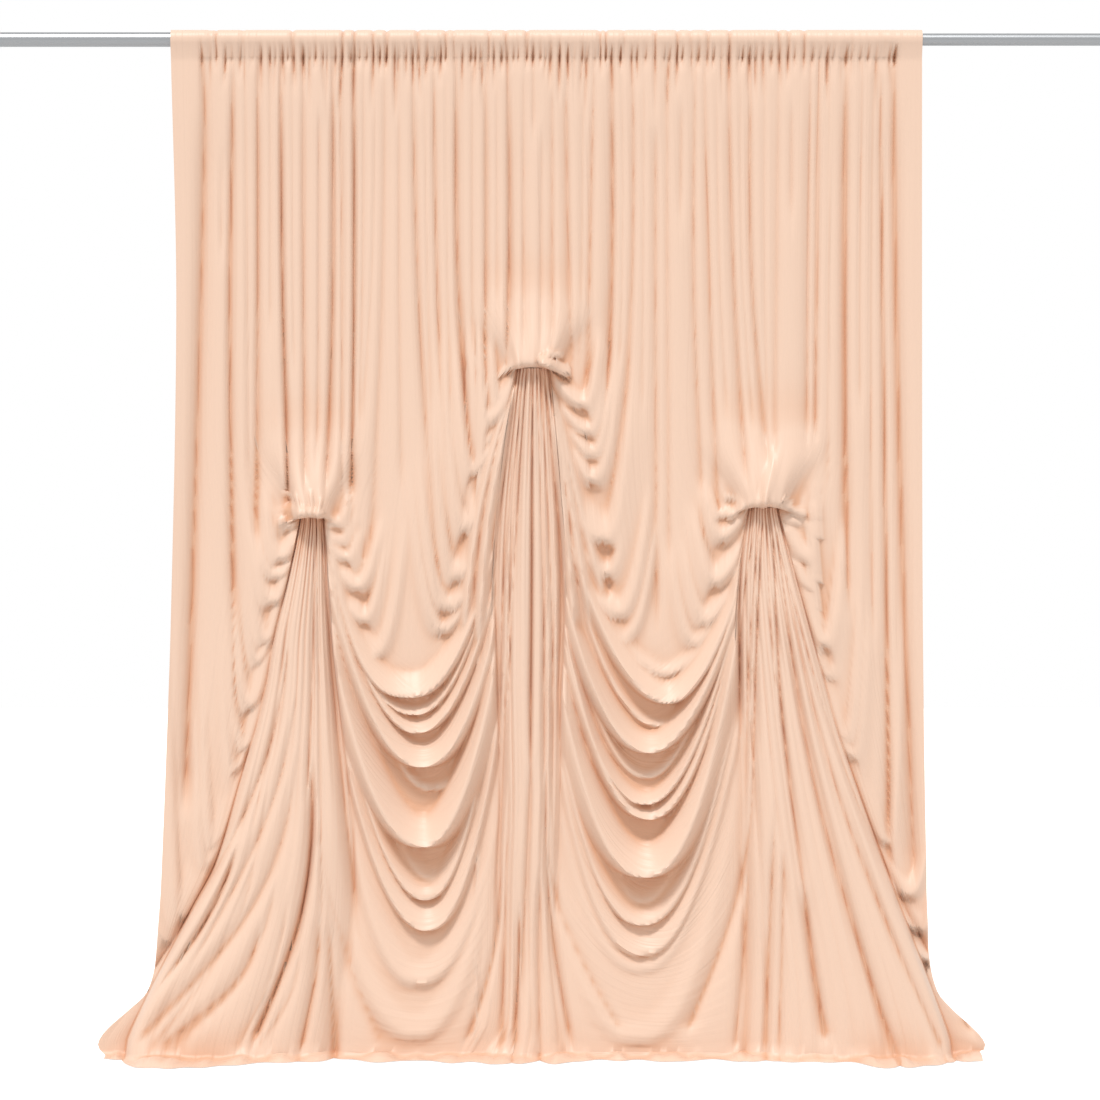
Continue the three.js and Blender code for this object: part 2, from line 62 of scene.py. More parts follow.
MM = 0.001
BAR_LOW, BAR_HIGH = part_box("crossbar_outer")
BAR_Y = 0.5 * (BAR_LOW[1] + BAR_HIGH[1]) / MM
BAR_Z = 0.5 * (BAR_LOW[2] + BAR_HIGH[2]) / MM
BAR_RADIUS = 0.5 * (BAR_HIGH[2] - BAR_LOW[2]) / MM

# The seam, how far it lies in front of the bar's middle, and the rod pocket around the bar.
SEAM_Z = 2610
SEAM_DEPTH = 8
POCKET_GAP = 1.6
POCKET_DEGREES = (204, -24)
POCKET_ROWS = 10
POCKET_TAIL = 10
PLEAT_MIDDLE_Z = 1980

# The net of the cloth: columns in each part from hem to hem, and the heights of its guide rows at
# the hems, fans and the lowest points of the bays between the fans. Beside a fan a row falls by a
# step, a share of its fall, and then sags with a power. Last: rows to the next guide row.
PART_COLUMNS = (40, 84, 74, 66, 76, 84, 38)
GUIDE_COLUMNS = (
    "hem_left", "fan_1", "bay_1", "fan_2", "bay_2", "fan_3", "hem_right", "step", "power", "rows",
)
GUIDE_ROWS = (
    (2610, 2610, 2610, 2610, 2610, 2610, 2610, 0, 2, 12),
    (2420, 2420, 2420, 2420, 2420, 2420, 2420, 0, 2, 7),
    (2160, 2160, 2160, 2160, 2160, 2160, 2160, 0, 2, 7),
    (1930, 1890, 1880, 1960, 1880, 1890, 1930, 0, 2, 9),
    (1640, 1580, 1560, 1856, 1560, 1606, 1640, 0, 1.4, 12),
    (1480, 1496, 1365, 1796, 1365, 1520, 1480, 0, 1.4, 13),
    (1320, 1412, 1190, 1730, 1190, 1434, 1320, 0.5, 1.4, 13),
    (1170, 1336, 1025, 1600, 1020, 1356, 1170, 0.38, 1.5, 13),
    (1050, 1250, 925, 1450, 915, 1270, 1050, 0.25, 1.7, 13),
    (930, 1160, 854, 1310, 818, 1180, 930, 0.15, 2, 13),
    (810, 1075, 796, 1190, 740, 1090, 810, 0.05, 2.1, 13),
    (700, 975, 720, 1080, 666, 990, 700, 0, 2.1, 12),
    (600, 860, 600, 950, 560, 870, 600, 0, 2.1, 13),
    (500, 760, 500, 850, 470, 760, 500, 0, 2.1, 12),
    (400, 670, 410, 740, 360, 670, 400, 0, 2.1, 12),
    (290, 540, 320, 600, 290, 540, 290, 0, 2.1, 10),
    (170, 340, 190, 370, 190, 340, 170, 0, 2.1, 11),
    (18, 18, 18, 18, 18, 18, 18, 0, 2, 0),
)
OUTER_SAG_POWER = 1.6
COLUMN_GAP = 0.4
DRAW_FALLOFF = 6
FLOOR_ROWS = 9
ROW_SAMPLES = 6
ROW_CROWDING = 0.7
SHARP_DEGREES = 62
ROW_EVENING = 12
HEM_BEND_RADIUS = 18

# Where the width of the picture is measured, in metres.
CLOTH_PLANE_Y = 0.03

# Side hems, as far from the middle as they hang at each height.
SIDE_HEMS = (
    (2610, -980, 980), (1980, -966, 980), (1150, -980, 982), (575, -1000, 990), (280, -1018, 998),
    (170, -1042, 1020), (120, -1092, 1062), (80, -1138, 1106), (50, -1164, 1136),
    (26, -1170, 1145), (0, -1150, 1128),
)

# The three ties: place and height of the lip, half widths of the pouch and the neck, rise of the
# pouch, the pleats that run down to both edges of the fan, and those edges below the neck.
TIES = (
    {
        "x": -612, "z": 1412, "pouch": 66, "neck": 34, "rise": 95,
        "pleats": ((-755, -755), (-478, -482)),
        "left": ((1250, -676), (1100, -712), (940, -740), (720, -800), (504, -865), (374, -935),
                 (60, -1090), (0, -1100)),
        "right": ((1100, -556), (900, -535), (680, -510), (560, -500), (300, -500), (0, -540)),
    },
    {
        "x": -36, "z": 1800, "pouch": 88, "neck": 46, "rise": 85,
        "pleats": ((-160, -160), (50, 72)),
        "left": ((1460, -126), (1250, -138), (1000, -134), (700, -124), (500, -132), (100, -150),
                 (0, -200)),
        "right": ((1460, 40), (1300, 50), (1150, 50), (950, 42), (700, 38), (300, 36), (0, 80)),
    },
    {
        "x": 566, "z": 1437, "pouch": 84, "neck": 42, "rise": 90,
        "pleats": ((412, 432), (712, 700)),
        "left": ((1250, 500), (1110, 496), (900, 502), (500, 505), (200, 510), (0, 495)),
        "right": ((1095, 695), (830, 768), (445, 905), (60, 1050), (0, 1060)),
    },
)
# How the edges of a fan are drawn in: from a height above the lip, in rises, by way of the
# pouch's waist, at shares of its rise and half width, to the neck, which ends below the lip, wider.
DRAW_START = 1.9
POUCH_WAIST = (0.6, 0.8)
NECK_BELOW_LIP = 26
NECK_WIDENING = 1.05

# Rolls of cloth crumpled at the ties: both ends as x and height, radius, how far they stand out.
ROLLS = (
    (-664, 1430, -596, 1424, 20, 16),
    (-684, 1400, -668, 1408, 13, 14),
    (-652, 1472, -642, 1440, 7, 8),
    (-612, 1478, -606, 1444, 6, 7),
    (-585, 1462, -590, 1440, 6, 7),
    (-8, 1826, 50, 1790, 16, 30),
    (6, 1842, 34, 1834, 9, 12),
    (-118, 1784, -106, 1798, 10, 12),
    (478, 1414, 506, 1440, 12, 16),
    (470, 1460, 500, 1454, 9, 8),
    (628, 1440, 656, 1418, 12, 18),
    (618, 1462, 634, 1448, 8, 9),
)

# Valleys of the hanging pleats: x at the seam, half way down and at the foot, the heights of the
# foot and the top, depth and width.
PLEATS = (
    (-890, -905, -945, 680, 2700, 16, 26),
    (-850, -850, -850, 2100, 2400, 5, 14),
    (-818, -828, -808, 770, 2700, 13, 15),
    (-788, -782, -778, 1500, 2700, 6, 14),
    (-755, -755, -760, 1330, 2700, 12, 16),
    (-722, -722, -722, 1900, 2700, 4, 12),
    (-695, -690, -672, 1420, 2700, 13, 10),
    (-665, -662, -660, 1800, 2700, 4, 12),
    (-635, -635, -630, 1500, 2700, 9, 15),
    (-595, -595, -600, 1560, 2500, 6, 14),
    (-560, -560, -575, 1500, 2700, 14, 15),
    (-540, -535, -535, 1480, 2700, 7, 12),
    (-505, -504, -512, 1410, 2700, 13, 10),
    (-478, -482, -490, 1640, 2700, 6, 13),
    (-450, -460, -480, 1700, 2700, 4, 12),
    (-423, -430, -470, 1150, 2700, 8, 22),
    (-385, -385, -380, 1500, 2700, 5, 14),
    (-350, -335, -270, 1120, 2700, 10, 16),
    (-320, -310, -300, 1600, 2700, 4, 12),
    (-295, -285, -250, 1290, 2700, 10, 15),
    (-262, -258, -250, 1700, 2700, 4, 12),
    (-235, -230, -190, 1480, 2700, 13, 16),
    (-195, -195, -195, 1800, 2700, 5, 14),
    (-160, -160, -165, 1690, 2700, 10, 14),
    (-130, -130, -130, 1850, 2700, 4, 12),
    (-103, -100, -105, 1830, 2700, 13, 15),
    (-60, -60, -60, 1860, 2600, 6, 14),
    (-35, -35, -35, 2420, 2700, 7, 12),
    (-10, -15, -15, 1860, 2450, 5, 14),
    (15, 15, 15, 1870, 2570, 7, 13),
    (50, 60, 65, 1820, 2570, 10, 16),
    (95, 90, 85, 1800, 2700, 4, 12),
    (125, 112, 108, 1720, 2700, 9, 14),
    (170, 170, 160, 1720, 2700, 13, 16),
    (198, 196, 190, 1800, 2700, 4, 12),
    (225, 222, 160, 1200, 2700, 9, 15),
    (255, 252, 250, 1700, 2700, 4, 12),
    (285, 285, 287, 1150, 2450, 8, 16),
    (315, 316, 320, 1300, 2700, 6, 14),
    (355, 352, 350, 2200, 2520, 6, 13),
    (390, 386, 412, 1360, 2700, 8, 14),
    (412, 427, 447, 1440, 2700, 8, 13),
    (445, 455, 470, 1700, 2700, 4, 12),
    (475, 492, 520, 1520, 2700, 10, 15),
    (508, 515, 540, 1650, 2700, 4, 12),
    (535, 540, 575, 1590, 2700, 10, 15),
    (570, 570, 575, 1700, 2700, 4, 12),
    (607, 600, 595, 1560, 2700, 7, 18),
    (640, 640, 640, 2200, 2520, 6, 13),
    (690, 682, 680, 1620, 2700, 8, 14),
    (712, 706, 702, 1620, 2700, 11, 14),
    (740, 738, 735, 1500, 2700, 5, 14),
    (785, 780, 787, 1200, 2700, 15, 18),
    (825, 820, 820, 1700, 2700, 6, 13),
    (855, 850, 850, 1100, 2700, 7, 14),
    (872, 880, 897, 520, 2700, 11, 12),
    (908, 915, 962, 480, 2700, 16, 24),
)
# The strength of the pleats, how wide their two sides are, how open they are at the seam and how
# far down they open, and how much of them the folds hide.
PLEAT_STRENGTH = 2.0
PLEAT_SIDES = (0.55, 1.25)
PLEAT_OPENING = (0.35, 320)
PLEAT_HIDING = 0.85
# How softly one fold runs into the next.
FOLD_SOFTNESS = 3.0
# Where the cloth swings forward near the floor: both ends, with the way to its full.
BAY_ENDS = ((-600, 80), (560, 80))

# Furrows of the fans: top, middle and foot points, depth and width.
FURROWS = (
    (-664, 1240, -700, 940, -760, 620, 16, 16),
    (-655, 1180, -737, 754, -1060, 175, 30, 22),
    (-640, 1000, -700, 700, -930, 230, 20, 20),
    (-640, 860, -760, 400, -1060, 50, 26, 26),
    (-745, 640, -800, 360, -1015, 44, 16, 22),
    (-700, 560, -762, 270, -976, 25, 16, 20),
    (-668, 470, -712, 220, -800, 40, 16, 20),
    (-640, 330, -668, 160, -755, 30, 14, 18),
    (-606, 1400, -612, 900, -625, 640, 20, 14),
    (-616, 860, -640, 369, -760, 50, 48, 17),
    (-790, 600, -867, 390, -1000, 196, 38, 14),
    (-740, 400, -794, 213, -987, 42, 26, 18),
    (-600, 1400, -588, 760, -583, 320, 20, 14),
    (-590, 1400, -550, 900, -500, 420, 30, 18),
    (-590, 420, -600, 220, -640, 20, 30, 18),
    (-566, 420, -560, 200, -548, 0, 26, 20),
    (-578, 950, -562, 420, -430, 40, 14, 32),
    (-62, 1796, -114, 1200, -122, 900, 24, 15),
    (-52, 1796, -88, 1200, -104, 820, 22, 14),
    (-37, 1800, -38, 1250, -42, 800, 34, 13),
    (-38, 860, -50, 520, -70, 150, 30, 22),
    (-66, 1796, -112, 800, -128, 300, 22, 16),
    (-96, 800, -106, 400, -118, 30, 26, 18),
    (-132, 700, -143, 250, -205, 50, 26, 14),
    (-70, 460, -72, 250, -84, 20, 34, 14),
    (-26, 1796, -8, 1150, -6, 700, 24, 14),
    (-18, 1796, 14, 1150, 16, 640, 22, 14),
    (-10, 1796, 36, 1250, 30, 960, 22, 14),
    (2, 900, 12, 350, 62, 50, 26, 14),
    (0, 800, 25, 420, 190, 80, 20, 24),
    (-14, 560, -20, 260, -16, 0, 24, 20),
    (546, 1400, 506, 1100, 508, 860, 22, 14),
    (554, 1400, 526, 1000, 520, 700, 24, 15),
    (562, 1400, 548, 1100, 540, 780, 34, 15),
    (572, 1400, 588, 1040, 606, 860, 16, 12),
    (540, 900, 505, 450, 370, 80, 28, 22),
    (528, 700, 522, 380, 490, 30, 20, 18),
    (590, 1360, 612, 900, 672, 420, 34, 16),
    (660, 520, 690, 260, 722, 60, 44, 20),
    (598, 1380, 700, 700, 905, 10, 34, 22),
    (606, 1330, 760, 680, 1030, 20, 30, 22),
    (612, 1300, 800, 690, 1105, 70, 30, 22),
    (596, 700, 580, 330, 568, 20, 28, 18),
    (618, 620, 612, 320, 602, 20, 22, 18),
)

# Arms beside the middle fan: top, middle and foot points, how far they stand out and width.
ARMS = (
    (-72, 1786, -142, 1461, -178, 1060, 46, 20),
    (-82, 1780, -168, 1461, -216, 1090, 36, 18),
    (-4, 1786, 42, 1461, 74, 1080, 44, 18),
    (2, 1784, 60, 1461, 116, 1130, 38, 18),
    (8, 1780, 80, 1461, 152, 1190, 28, 16),
)

# Hanging folds: x and height of the lowest point, reach, rise and power of the left and the right
# arm, how far the fold stands out, its width, and the width of its edge.
SWAGS = (
    (-352, 952, 182, 250, 2.8, 182, 268, 2.1, 44, 66, 8),
    (-345, 902, 176, 250, 2.2, 180, 290, 2.1, 30, 26, 7),
    (-339, 858, 169, 247, 1.9, 187, 317, 2.1, 40, 34, 8),
    (-325, 778, 192, 302, 2, 179, 312, 2.2, 62, 56, 8),
    (-300, 702, 150, 260, 2.1, 150, 260, 2.1, 16, 30, 12),
    (-322, 575, 221, 445, 2.1, 185, 445, 2.1, 74, 76, 8),
    (-300, 470, 120, 240, 2, 140, 300, 2.1, 14, 60, 18),
    (-318, 421, 190, 398, 1.9, 156, 398, 2.2, 30, 60, 10),
    (-312, 343, 200, 400, 2, 160, 380, 2.2, 34, 70, 10),
    (-338, 200, 165, 365, 2.1, 190, 330, 2.2, 18, 80, 16),
    (-345, 62, 190, 300, 2, 200, 440, 2.3, 16, 90, 20),
    (306, 1001, 164, 192, 1.7, 166, 200, 1.8, 18, 40, 14),
    (315, 939, 218, 315, 1.9, 190, 315, 1.85, 52, 62, 8),
    (290, 868, 190, 300, 2, 190, 300, 1.9, 18, 26, 9),
    (267, 814, 211, 369, 2.05, 213, 335, 1.85, 60, 50, 8),
    (262, 734, 170, 300, 2.1, 180, 320, 1.9, 16, 30, 12),
    (259, 674, 213, 416, 2.15, 203, 372, 1.9, 44, 30, 7),
    (267, 636, 200, 400, 2.15, 195, 372, 1.95, 46, 34, 7),
    (254, 497, 190, 359, 2.2, 192, 374, 2.2, 74, 80, 8),
    (250, 410, 110, 220, 2, 130, 240, 2, 12, 60, 18),
    (250, 354, 166, 270, 2.2, 180, 300, 2.1, 26, 60, 10),
    (250, 276, 180, 330, 2.3, 190, 330, 2.1, 22, 56, 12),
    (245, 232, 170, 260, 2.2, 170, 280, 2.2, 10, 50, 16),
    (240, 52, 190, 300, 2.2, 190, 330, 2.2, 14, 90, 22),
)
COWLS = (
    (-675, 1383, 22, 50, 2.4, 26, 26, 1.8, 34, 34, 5),
    (-690, 1302, 40, 150, 3.2, 46, 82, 2, 44, 90, 6),
    (-700, 1253, 57, 130, 2.9, 46, 60, 1.8, 40, 70, 6),
    (-710, 1188, 55, 195, 3.2, 50, 130, 1.9, 44, 80, 6),
    (-727, 1086, 45, 200, 3.2, 50, 170, 1.6, 38, 90, 7),
    (-753, 1030, 36, 160, 2.4, 45, 120, 1.6, 30, 80, 8),
    (-773, 915, 42, 260, 3, 50, 150, 1.7, 36, 100, 8),
    (-789, 806, 34, 300, 3, 50, 160, 1.7, 32, 90, 8),
    (-812, 750, 30, 300, 3, 50, 160, 1.6, 26, 80, 8),
    (-867, 556, 34, 400, 3, 60, 160, 1.5, 26, 110, 10),
    (-886, 500, 34, 400, 3, 60, 160, 1.5, 24, 90, 10),
    (-950, 366, 40, 600, 3.4, 70, 150, 1.5, 34, 140, 9),
    (-985, 300, 60, 300, 2.6, 90, 120, 1.6, 26, 100, 12),
    (-554, 1388, 42, 24, 1.6, 40, 80, 2.8, 38, 60, 6),
    (-538, 1343, 45, 60, 1.8, 30, 80, 2.4, 34, 50, 6),
    (-521, 1300, 50, 65, 1.8, 24, 60, 2.4, 42, 50, 6),
    (-495, 1225, 50, 65, 1.7, 52, 140, 2.4, 46, 80, 6),
    (-479, 1141, 50, 70, 1.6, 50, 170, 2.6, 42, 80, 7),
    (-454, 1048, 60, 85, 1.8, 80, 300, 2.6, 34, 90, 8),
    (-119, 1716, 26, 160, 3, 30, 50, 1.8, 40, 70, 6),
    (-152, 1656, 18, 220, 3, 70, 140, 1.8, 50, 110, 6),
    (-168, 1602, 24, 260, 3, 50, 70, 1.8, 40, 70, 6),
    (-188, 1529, 42, 250, 3, 70, 130, 1.5, 50, 100, 7),
    (-204, 1379, 60, 400, 3.4, 60, 150, 1.4, 50, 110, 7),
    (-229, 1253, 65, 400, 3, 70, 150, 1.8, 48, 100, 8),
    (-249, 1172, 75, 320, 2.6, 75, 140, 1.8, 44, 80, 8),
    (-268, 1112, 80, 320, 2.6, 75, 140, 1.8, 36, 70, 8),
    (92, 1702, 74, 86, 1.7, 40, 150, 3, 48, 60, 6),
    (104, 1630, 58, 66, 1.6, 46, 160, 3, 40, 50, 6),
    (112, 1572, 44, 60, 1.5, 56, 220, 3, 42, 50, 7),
    (114, 1504, 40, 80, 1.5, 70, 260, 2.8, 44, 60, 7),
    (144, 1349, 113, 170, 1.7, 64, 320, 3.4, 50, 120, 7),
    (148, 1258, 70, 110, 1.5, 66, 230, 2.8, 42, 70, 7),
    (182, 1154, 60, 70, 1.6, 78, 260, 2.4, 44, 80, 8),
    (199, 1092, 60, 80, 1.6, 84, 280, 2.4, 34, 60, 8),
    (490, 1409, 26, 30, 2, 30, 26, 1.6, 32, 40, 5),
    (451, 1412, 20, 60, 2.4, 24, 24, 1.8, 34, 36, 5),
    (460, 1354, 48, 120, 2.4, 60, 80, 1.4, 46, 70, 6),
    (443, 1239, 50, 160, 2.8, 60, 90, 1.5, 50, 90, 7),
    (418, 1136, 55, 170, 2.5, 60, 90, 1.5, 42, 80, 8),
    (389, 1079, 60, 200, 2.5, 70, 100, 1.5, 34, 70, 8),
    (645, 1396, 30, 30, 1.8, 24, 60, 2.4, 34, 44, 5),
    (675, 1303, 60, 100, 1.4, 20, 160, 3, 46, 90, 6),
    (682, 1227, 50, 100, 1.4, 18, 200, 3, 40, 60, 6),
    (720, 1078, 50, 150, 1.4, 52, 260, 3.2, 46, 110, 7),
    (735, 990, 50, 150, 1.4, 50, 300, 3.2, 22, 70, 9),
    (775, 830, 60, 160, 1.5, 45, 400, 3.2, 30, 80, 9),
    (795, 785, 60, 160, 1.5, 45, 400, 3.2, 30, 60, 9),
    (885, 560, 70, 170, 1.5, 45, 600, 3.4, 20, 90, 12),
    (940, 424, 100, 150, 1.7, 50, 120, 2.6, 34, 80, 10),
    (975, 330, 110, 150, 1.7, 40, 160, 2.6, 32, 80, 10),
    (990, 250, 110, 150, 1.7, 40, 160, 2.6, 26, 70, 12),
)
# How both kinds of fold hang: the shares of its rise between which an arm fades, the least width
# of its edge as a share of its depth, a factor for its depth, and the share of it that it sags.
SWAG_STYLE = (1.3, 2.4, 0.34, 1.0, 0.28)
COWL_STYLE = (0.7, 1.6, 0.65, 0.54, 0.06)
# Where an arm ends, in reaches, how much thinner and shallower it gets, and how much wider the
# edge of a fold is where it runs steeply.
ARM_END = 1.75
ARM_THINNING = 0.6
ARM_FADING = 0.4
STEEP_EDGE = 1.2
POUCH_SAG = 0.25
# A pouch: how far it stands out, how high its lip rolls, its length in rises, the arch of its lip
# and the depth of its puckers.
POUCH_OUT = 50
POUCH_LIP = 26
POUCH_LENGTH = 3.4
POUCH_ARCH = 22
PUCKER_DEPTH = 3.4
# The strength of the furrows, the share of their length over which they fade, and for those that
# start near a tie how near that is, their shares of width and depth there and the way to the full.
FURROW_STRENGTH = 0.74
FURROW_FADE = 0.35
FURROW_AT_TIE = (145, 0.22, 0.4, 520)
# How far a fan stands out at its neck, the growth to a share of its fall and that to the floor.
FAN_OUT = (26, 24, 34)
FAN_OUT_AT = 0.25
# The width over which a fan's sides fall away, and its growth at the sides to the bays: how much
# below the neck, from where and over which way, and the same near the floor.
FAN_SIDE = 12
FAN_SIDE_GROWTH = (26, 60, 300)
FAN_SIDE_SPREAD = (30, 620, 420)
BAY_SWING = 30
BAY_SWING_HEIGHT = 640

# How far the hem runs forward over the floor, from the left side to the right.
HEM_RUN = (
    (-1170, 50), (-1000, 95), (-890, 120), (-780, 45), (-720, 25), (-560, 35), (-400, 38),
    (-200, 62), (-60, 72), (60, 50), (130, 30), (300, 34), (560, 30), (740, 14), (800, 30),
    (870, 115), (930, 105), (1000, 85), (1150, 50),
)
HEM_RUN_IN_VALLEY = 0.35
# Crumples along the hem: length of their wave, height and change of its run.
CRUMPLES = ((97, 6, 8), (173, 10, 14), (287, 9, 12))

# The sizes of crease that are given painted shade: how far around a point its depth is compared, in
# steps of the net, and the depth at which the painted shade is full.
PAINTED_SHADE_SIZES = ((2, 12), (5, 36), (16, 100))
SEAM_ROWS = 30
# The shade under a hanging fold: how soon it ends, the depth at which it is full, its strength.
SHADE_SLOPE = 0.3
SHADE_DEPTH = 46
SHADE_STRENGTH = 0.75
# The shade of the hem on the floor, from its bend to its edge.
HEM_SHADE = (0.05, 0.5)

# Creases too fine for the net, those down the cloth and those across it: how many to a metre
# across the cloth and down it.
FINE_CREASES = ((75, 1.3), (2.2, 60))

# The gathers at the seam: both ends, spacing, depth, length down from the seam, with few long
# ones, length up from it, lean and width.
GATHER_SEED = 7
GATHER_ENDS = (-900.0, 925)
GATHER_SPACING = (10, 25)
GATHER_DEPTH = (9, 24)
GATHER_LENGTH = (34, 210)
GATHER_LENGTH_POWER = 2.2
GATHER_UPS = (20, 26, 32, 70)
GATHER_LEAN = 0.07
GATHER_WIDTH = (3.4, 4.6)
# How far the rod pocket stands off the bar, and the most that it can.
RUFFLE = 7
RUFFLE_MOST = 9
# The ribs of a fan: how many, depth, and width and length as shares of the fan's.
RIB_SEED = 20
RIB_COUNT = 12
RIB_DEPTH = (5, 11)
RIB_WIDTH = (0.016, 0.026)
RIB_LENGTH = (0.5, 2.4)


class CurtainSettings(bpy.types.PropertyGroup):
    flat_width: bpy.props.FloatProperty(
        name="Flat width", description="Width of the cloth laid flat",
        default=3.05, min=0.1, unit="LENGTH",
    )
    flat_height: bpy.props.FloatProperty(
        name="Flat height", description="Height of the cloth laid flat",
        default=3.05, min=0.1, unit="LENGTH",
    )
    cloth_color: bpy.props.FloatVectorProperty(
        name="Cloth colour", description="Colour of the lit cloth",
        default=(0.74, 0.545, 0.425), min=0, max=1, subtype="COLOR",
    )
    # Painted shade: the colour that the cloth is painted towards in its creases, under its hanging
    # folds and at the hem on the floor, in place of their shade.
    painted_shade_color: bpy.props.FloatVectorProperty(
        name="Painted shade colour", description="Colour of the cloth deep in its creases",
        default=(0.62, 0.32, 0.18), min=0, max=1, subtype="COLOR",
    )
    roughness: bpy.props.FloatProperty(
        name="Roughness", description="Roughness of the knit's satin surface",
        default=0.45, min=0, max=1, subtype="FACTOR",
    )
    sheen: bpy.props.FloatProperty(
        name="Sheen", description="Weight of the knit's soft sheen",
        default=0.1, min=0, max=1, subtype="FACTOR",
    )
    fine_creases: bpy.props.FloatProperty(
        name="Fine creases", description="Depth of the creases too fine for the mesh",
        default=0.002, min=0, unit="LENGTH",
    )


class CrossbarSettings(bpy.types.PropertyGroup):
    color: bpy.props.FloatVectorProperty(
        name="Metal colour", description="Colour of the drawn tubes",
        default=(0.4, 0.41, 0.42), min=0, max=1, subtype="COLOR",
    )
    roughness: bpy.props.FloatProperty(
        name="Roughness", description="Roughness of the satin metal",
        default=0.35, min=0, max=1, subtype="FACTOR",
    )


class StageSettings(bpy.types.PropertyGroup):
    floor_size: bpy.props.FloatProperty(
        name="Floor size", description="Half the width of the floor",
        default=20.0, min=1, unit="LENGTH",
    )
    view_width: bpy.props.FloatProperty(
        name="View width", description="Width of the picture at the curtain",
        default=2.847, min=0.1, unit="LENGTH",
    )
    view_place: bpy.props.FloatVectorProperty(
        name="Camera", description="Where the camera stands",
        default=(0.009, -8.97, 1.322), subtype="TRANSLATION", unit="LENGTH",
    )
    sun: bpy.props.FloatProperty(
        name="Sun", description="Strength of the key light", default=2.1, min=0,
    )
    sun_place: bpy.props.FloatVectorProperty(
        name="Sun from", description="Where the key light comes from",
        default=(-1.2, -3.8, 6.2), subtype="TRANSLATION", unit="LENGTH",
    )
    sun_softness: bpy.props.FloatProperty(
        name="Sun softness", description="How wide the key light is in the sky",
        default=math.radians(10), min=0, subtype="ANGLE", unit="ROTATION",
    )
    sky: bpy.props.FloatProperty(
        name="Sky", description="Strength of the light from all around", default=0.86, min=0,
    )


def smooth(value):
    t = np.clip(value, 0, 1)
    return t * t * (3 - 2 * t)


def soft_max(a, b, softness):
    h = np.clip(0.5 + 0.5 * (a - b) / softness, 0, 1)
    return b * (1 - h) + a * h + softness * h * (1 - h)


def hermite(t, span, start, start_slope, end, end_slope):
    """A smooth line from one value and slope to the next, at a share of its span."""
    return (
        (2 * t**3 - 3 * t**2 + 1) * start + (t**3 - 2 * t**2 + t) * span * start_slope
        + (3 * t**2 - 2 * t**3) * end + (t**3 - t**2) * span * end_slope
    )


def along(places, values, at):
    """The values of a smooth line through the rows of a table."""
    order = np.argsort(places)
    p, v = np.asarray(places, float)[order], np.asarray(values, float)[order]
    slope = np.concatenate([
        [(v[1] - v[0]) / (p[1] - p[0])],
        (v[2:] - v[:-2]) / (p[2:] - p[:-2]),
        [(v[-1] - v[-2]) / (p[-1] - p[-2])],
    ])
    i = np.clip(np.searchsorted(p, at, side="right") - 1, 0, len(p) - 2)
    span = p[i + 1] - p[i]
    t = np.clip((at - p[i]) / span, 0, 1)
    return hermite(t, span, v[i], slope[i], v[i + 1], slope[i + 1])


def from_crease(x, z, x3, z3, x2, z2, x1, z1):
    """Distance, to either side, from a crease through its top, middle and foot."""
    low_span, high_span = z2 - z1, z3 - z2
    low_slope, high_slope = (x2 - x1) / low_span, (x3 - x2) / high_span
    mid = (low_slope * high_span + high_slope * low_span) / (low_span + high_span)
    first, last = 1.5 * low_slope - 0.5 * mid, 1.5 * high_slope - 0.5 * mid
    held = np.clip(z, z1, z3)
    low = held < z2
    t = np.where(low, (held - z1) / low_span, (held - z2) / high_span)
    span = np.where(low, low_span, high_span)
    start, end = np.where(low, x1, x2), np.where(low, x2, x3)
    a, b = np.where(low, first, mid), np.where(low, mid, last)
    line = hermite(t, span, start, a, end, b)
    slope = (
        (6 * t**2 - 6 * t) * start + (3 * t**2 - 4 * t + 1) * span * a
        + (6 * t - 6 * t**2) * end + (3 * t**2 - 2 * t) * span * b
    ) / span
    line = line + np.maximum(z - z3, 0) * last + np.minimum(z - z1, 0) * first
    return (x - line) / np.sqrt(1 + slope**2)


def calm_edge(tie, side, neck=()):
    """Heights and x of one edge of a fan, from seam to floor, without the draw-in at its neck."""
    seam, middle = tie["pleats"][side]
    points = [
        (SEAM_Z, seam),
        (PLEAT_MIDDLE_Z, middle),
        (tie["z"] + DRAW_START * tie["rise"], middle),
        *neck,
        *tie[("left", "right")[side]],
    ]
    return tuple(zip(*sorted(dict(points).items())))


def fan_edge(tie, side):
    """The same edge with its draw-in."""
    sign = (-1, 1)[side]
    return calm_edge(tie, side, (
        (tie["z"] + POUCH_WAIST[0] * tie["rise"], tie["x"] + sign * POUCH_WAIST[1] * tie["pouch"]),
        (tie["z"], tie["x"] + sign * tie["neck"]),
        (tie["z"] - NECK_BELOW_LIP, tie["x"] + sign * NECK_WIDENING * tie["neck"]),
    ))


def dividing_lines(edge):
    heights, left, right = zip(*SIDE_HEMS)
    edges = [edge(tie, side) for tie in TIES for side in (0, 1)]
    return [(heights, left), *edges, (heights, right)]


DIVIDERS = dividing_lines(fan_edge)
CALM_DIVIDERS = dividing_lines(calm_edge)


def gather_lines():
    """The gathers at the seam: x, depth, length down and up from it, lean and width."""
    rng = np.random.default_rng(GATHER_SEED)
    lines = []
    shortest, longest = GATHER_LENGTH
    x, last = GATHER_ENDS
    while x < last:
        lines.append((
            x,
            rng.uniform(*GATHER_DEPTH),
            shortest + (longest - shortest) * rng.random() ** GATHER_LENGTH_POWER,
            rng.choice(GATHER_UPS),
            rng.uniform(-GATHER_LEAN, GATHER_LEAN),
            rng.uniform(*GATHER_WIDTH),
        ))
        x += rng.uniform(*GATHER_SPACING)
    return lines


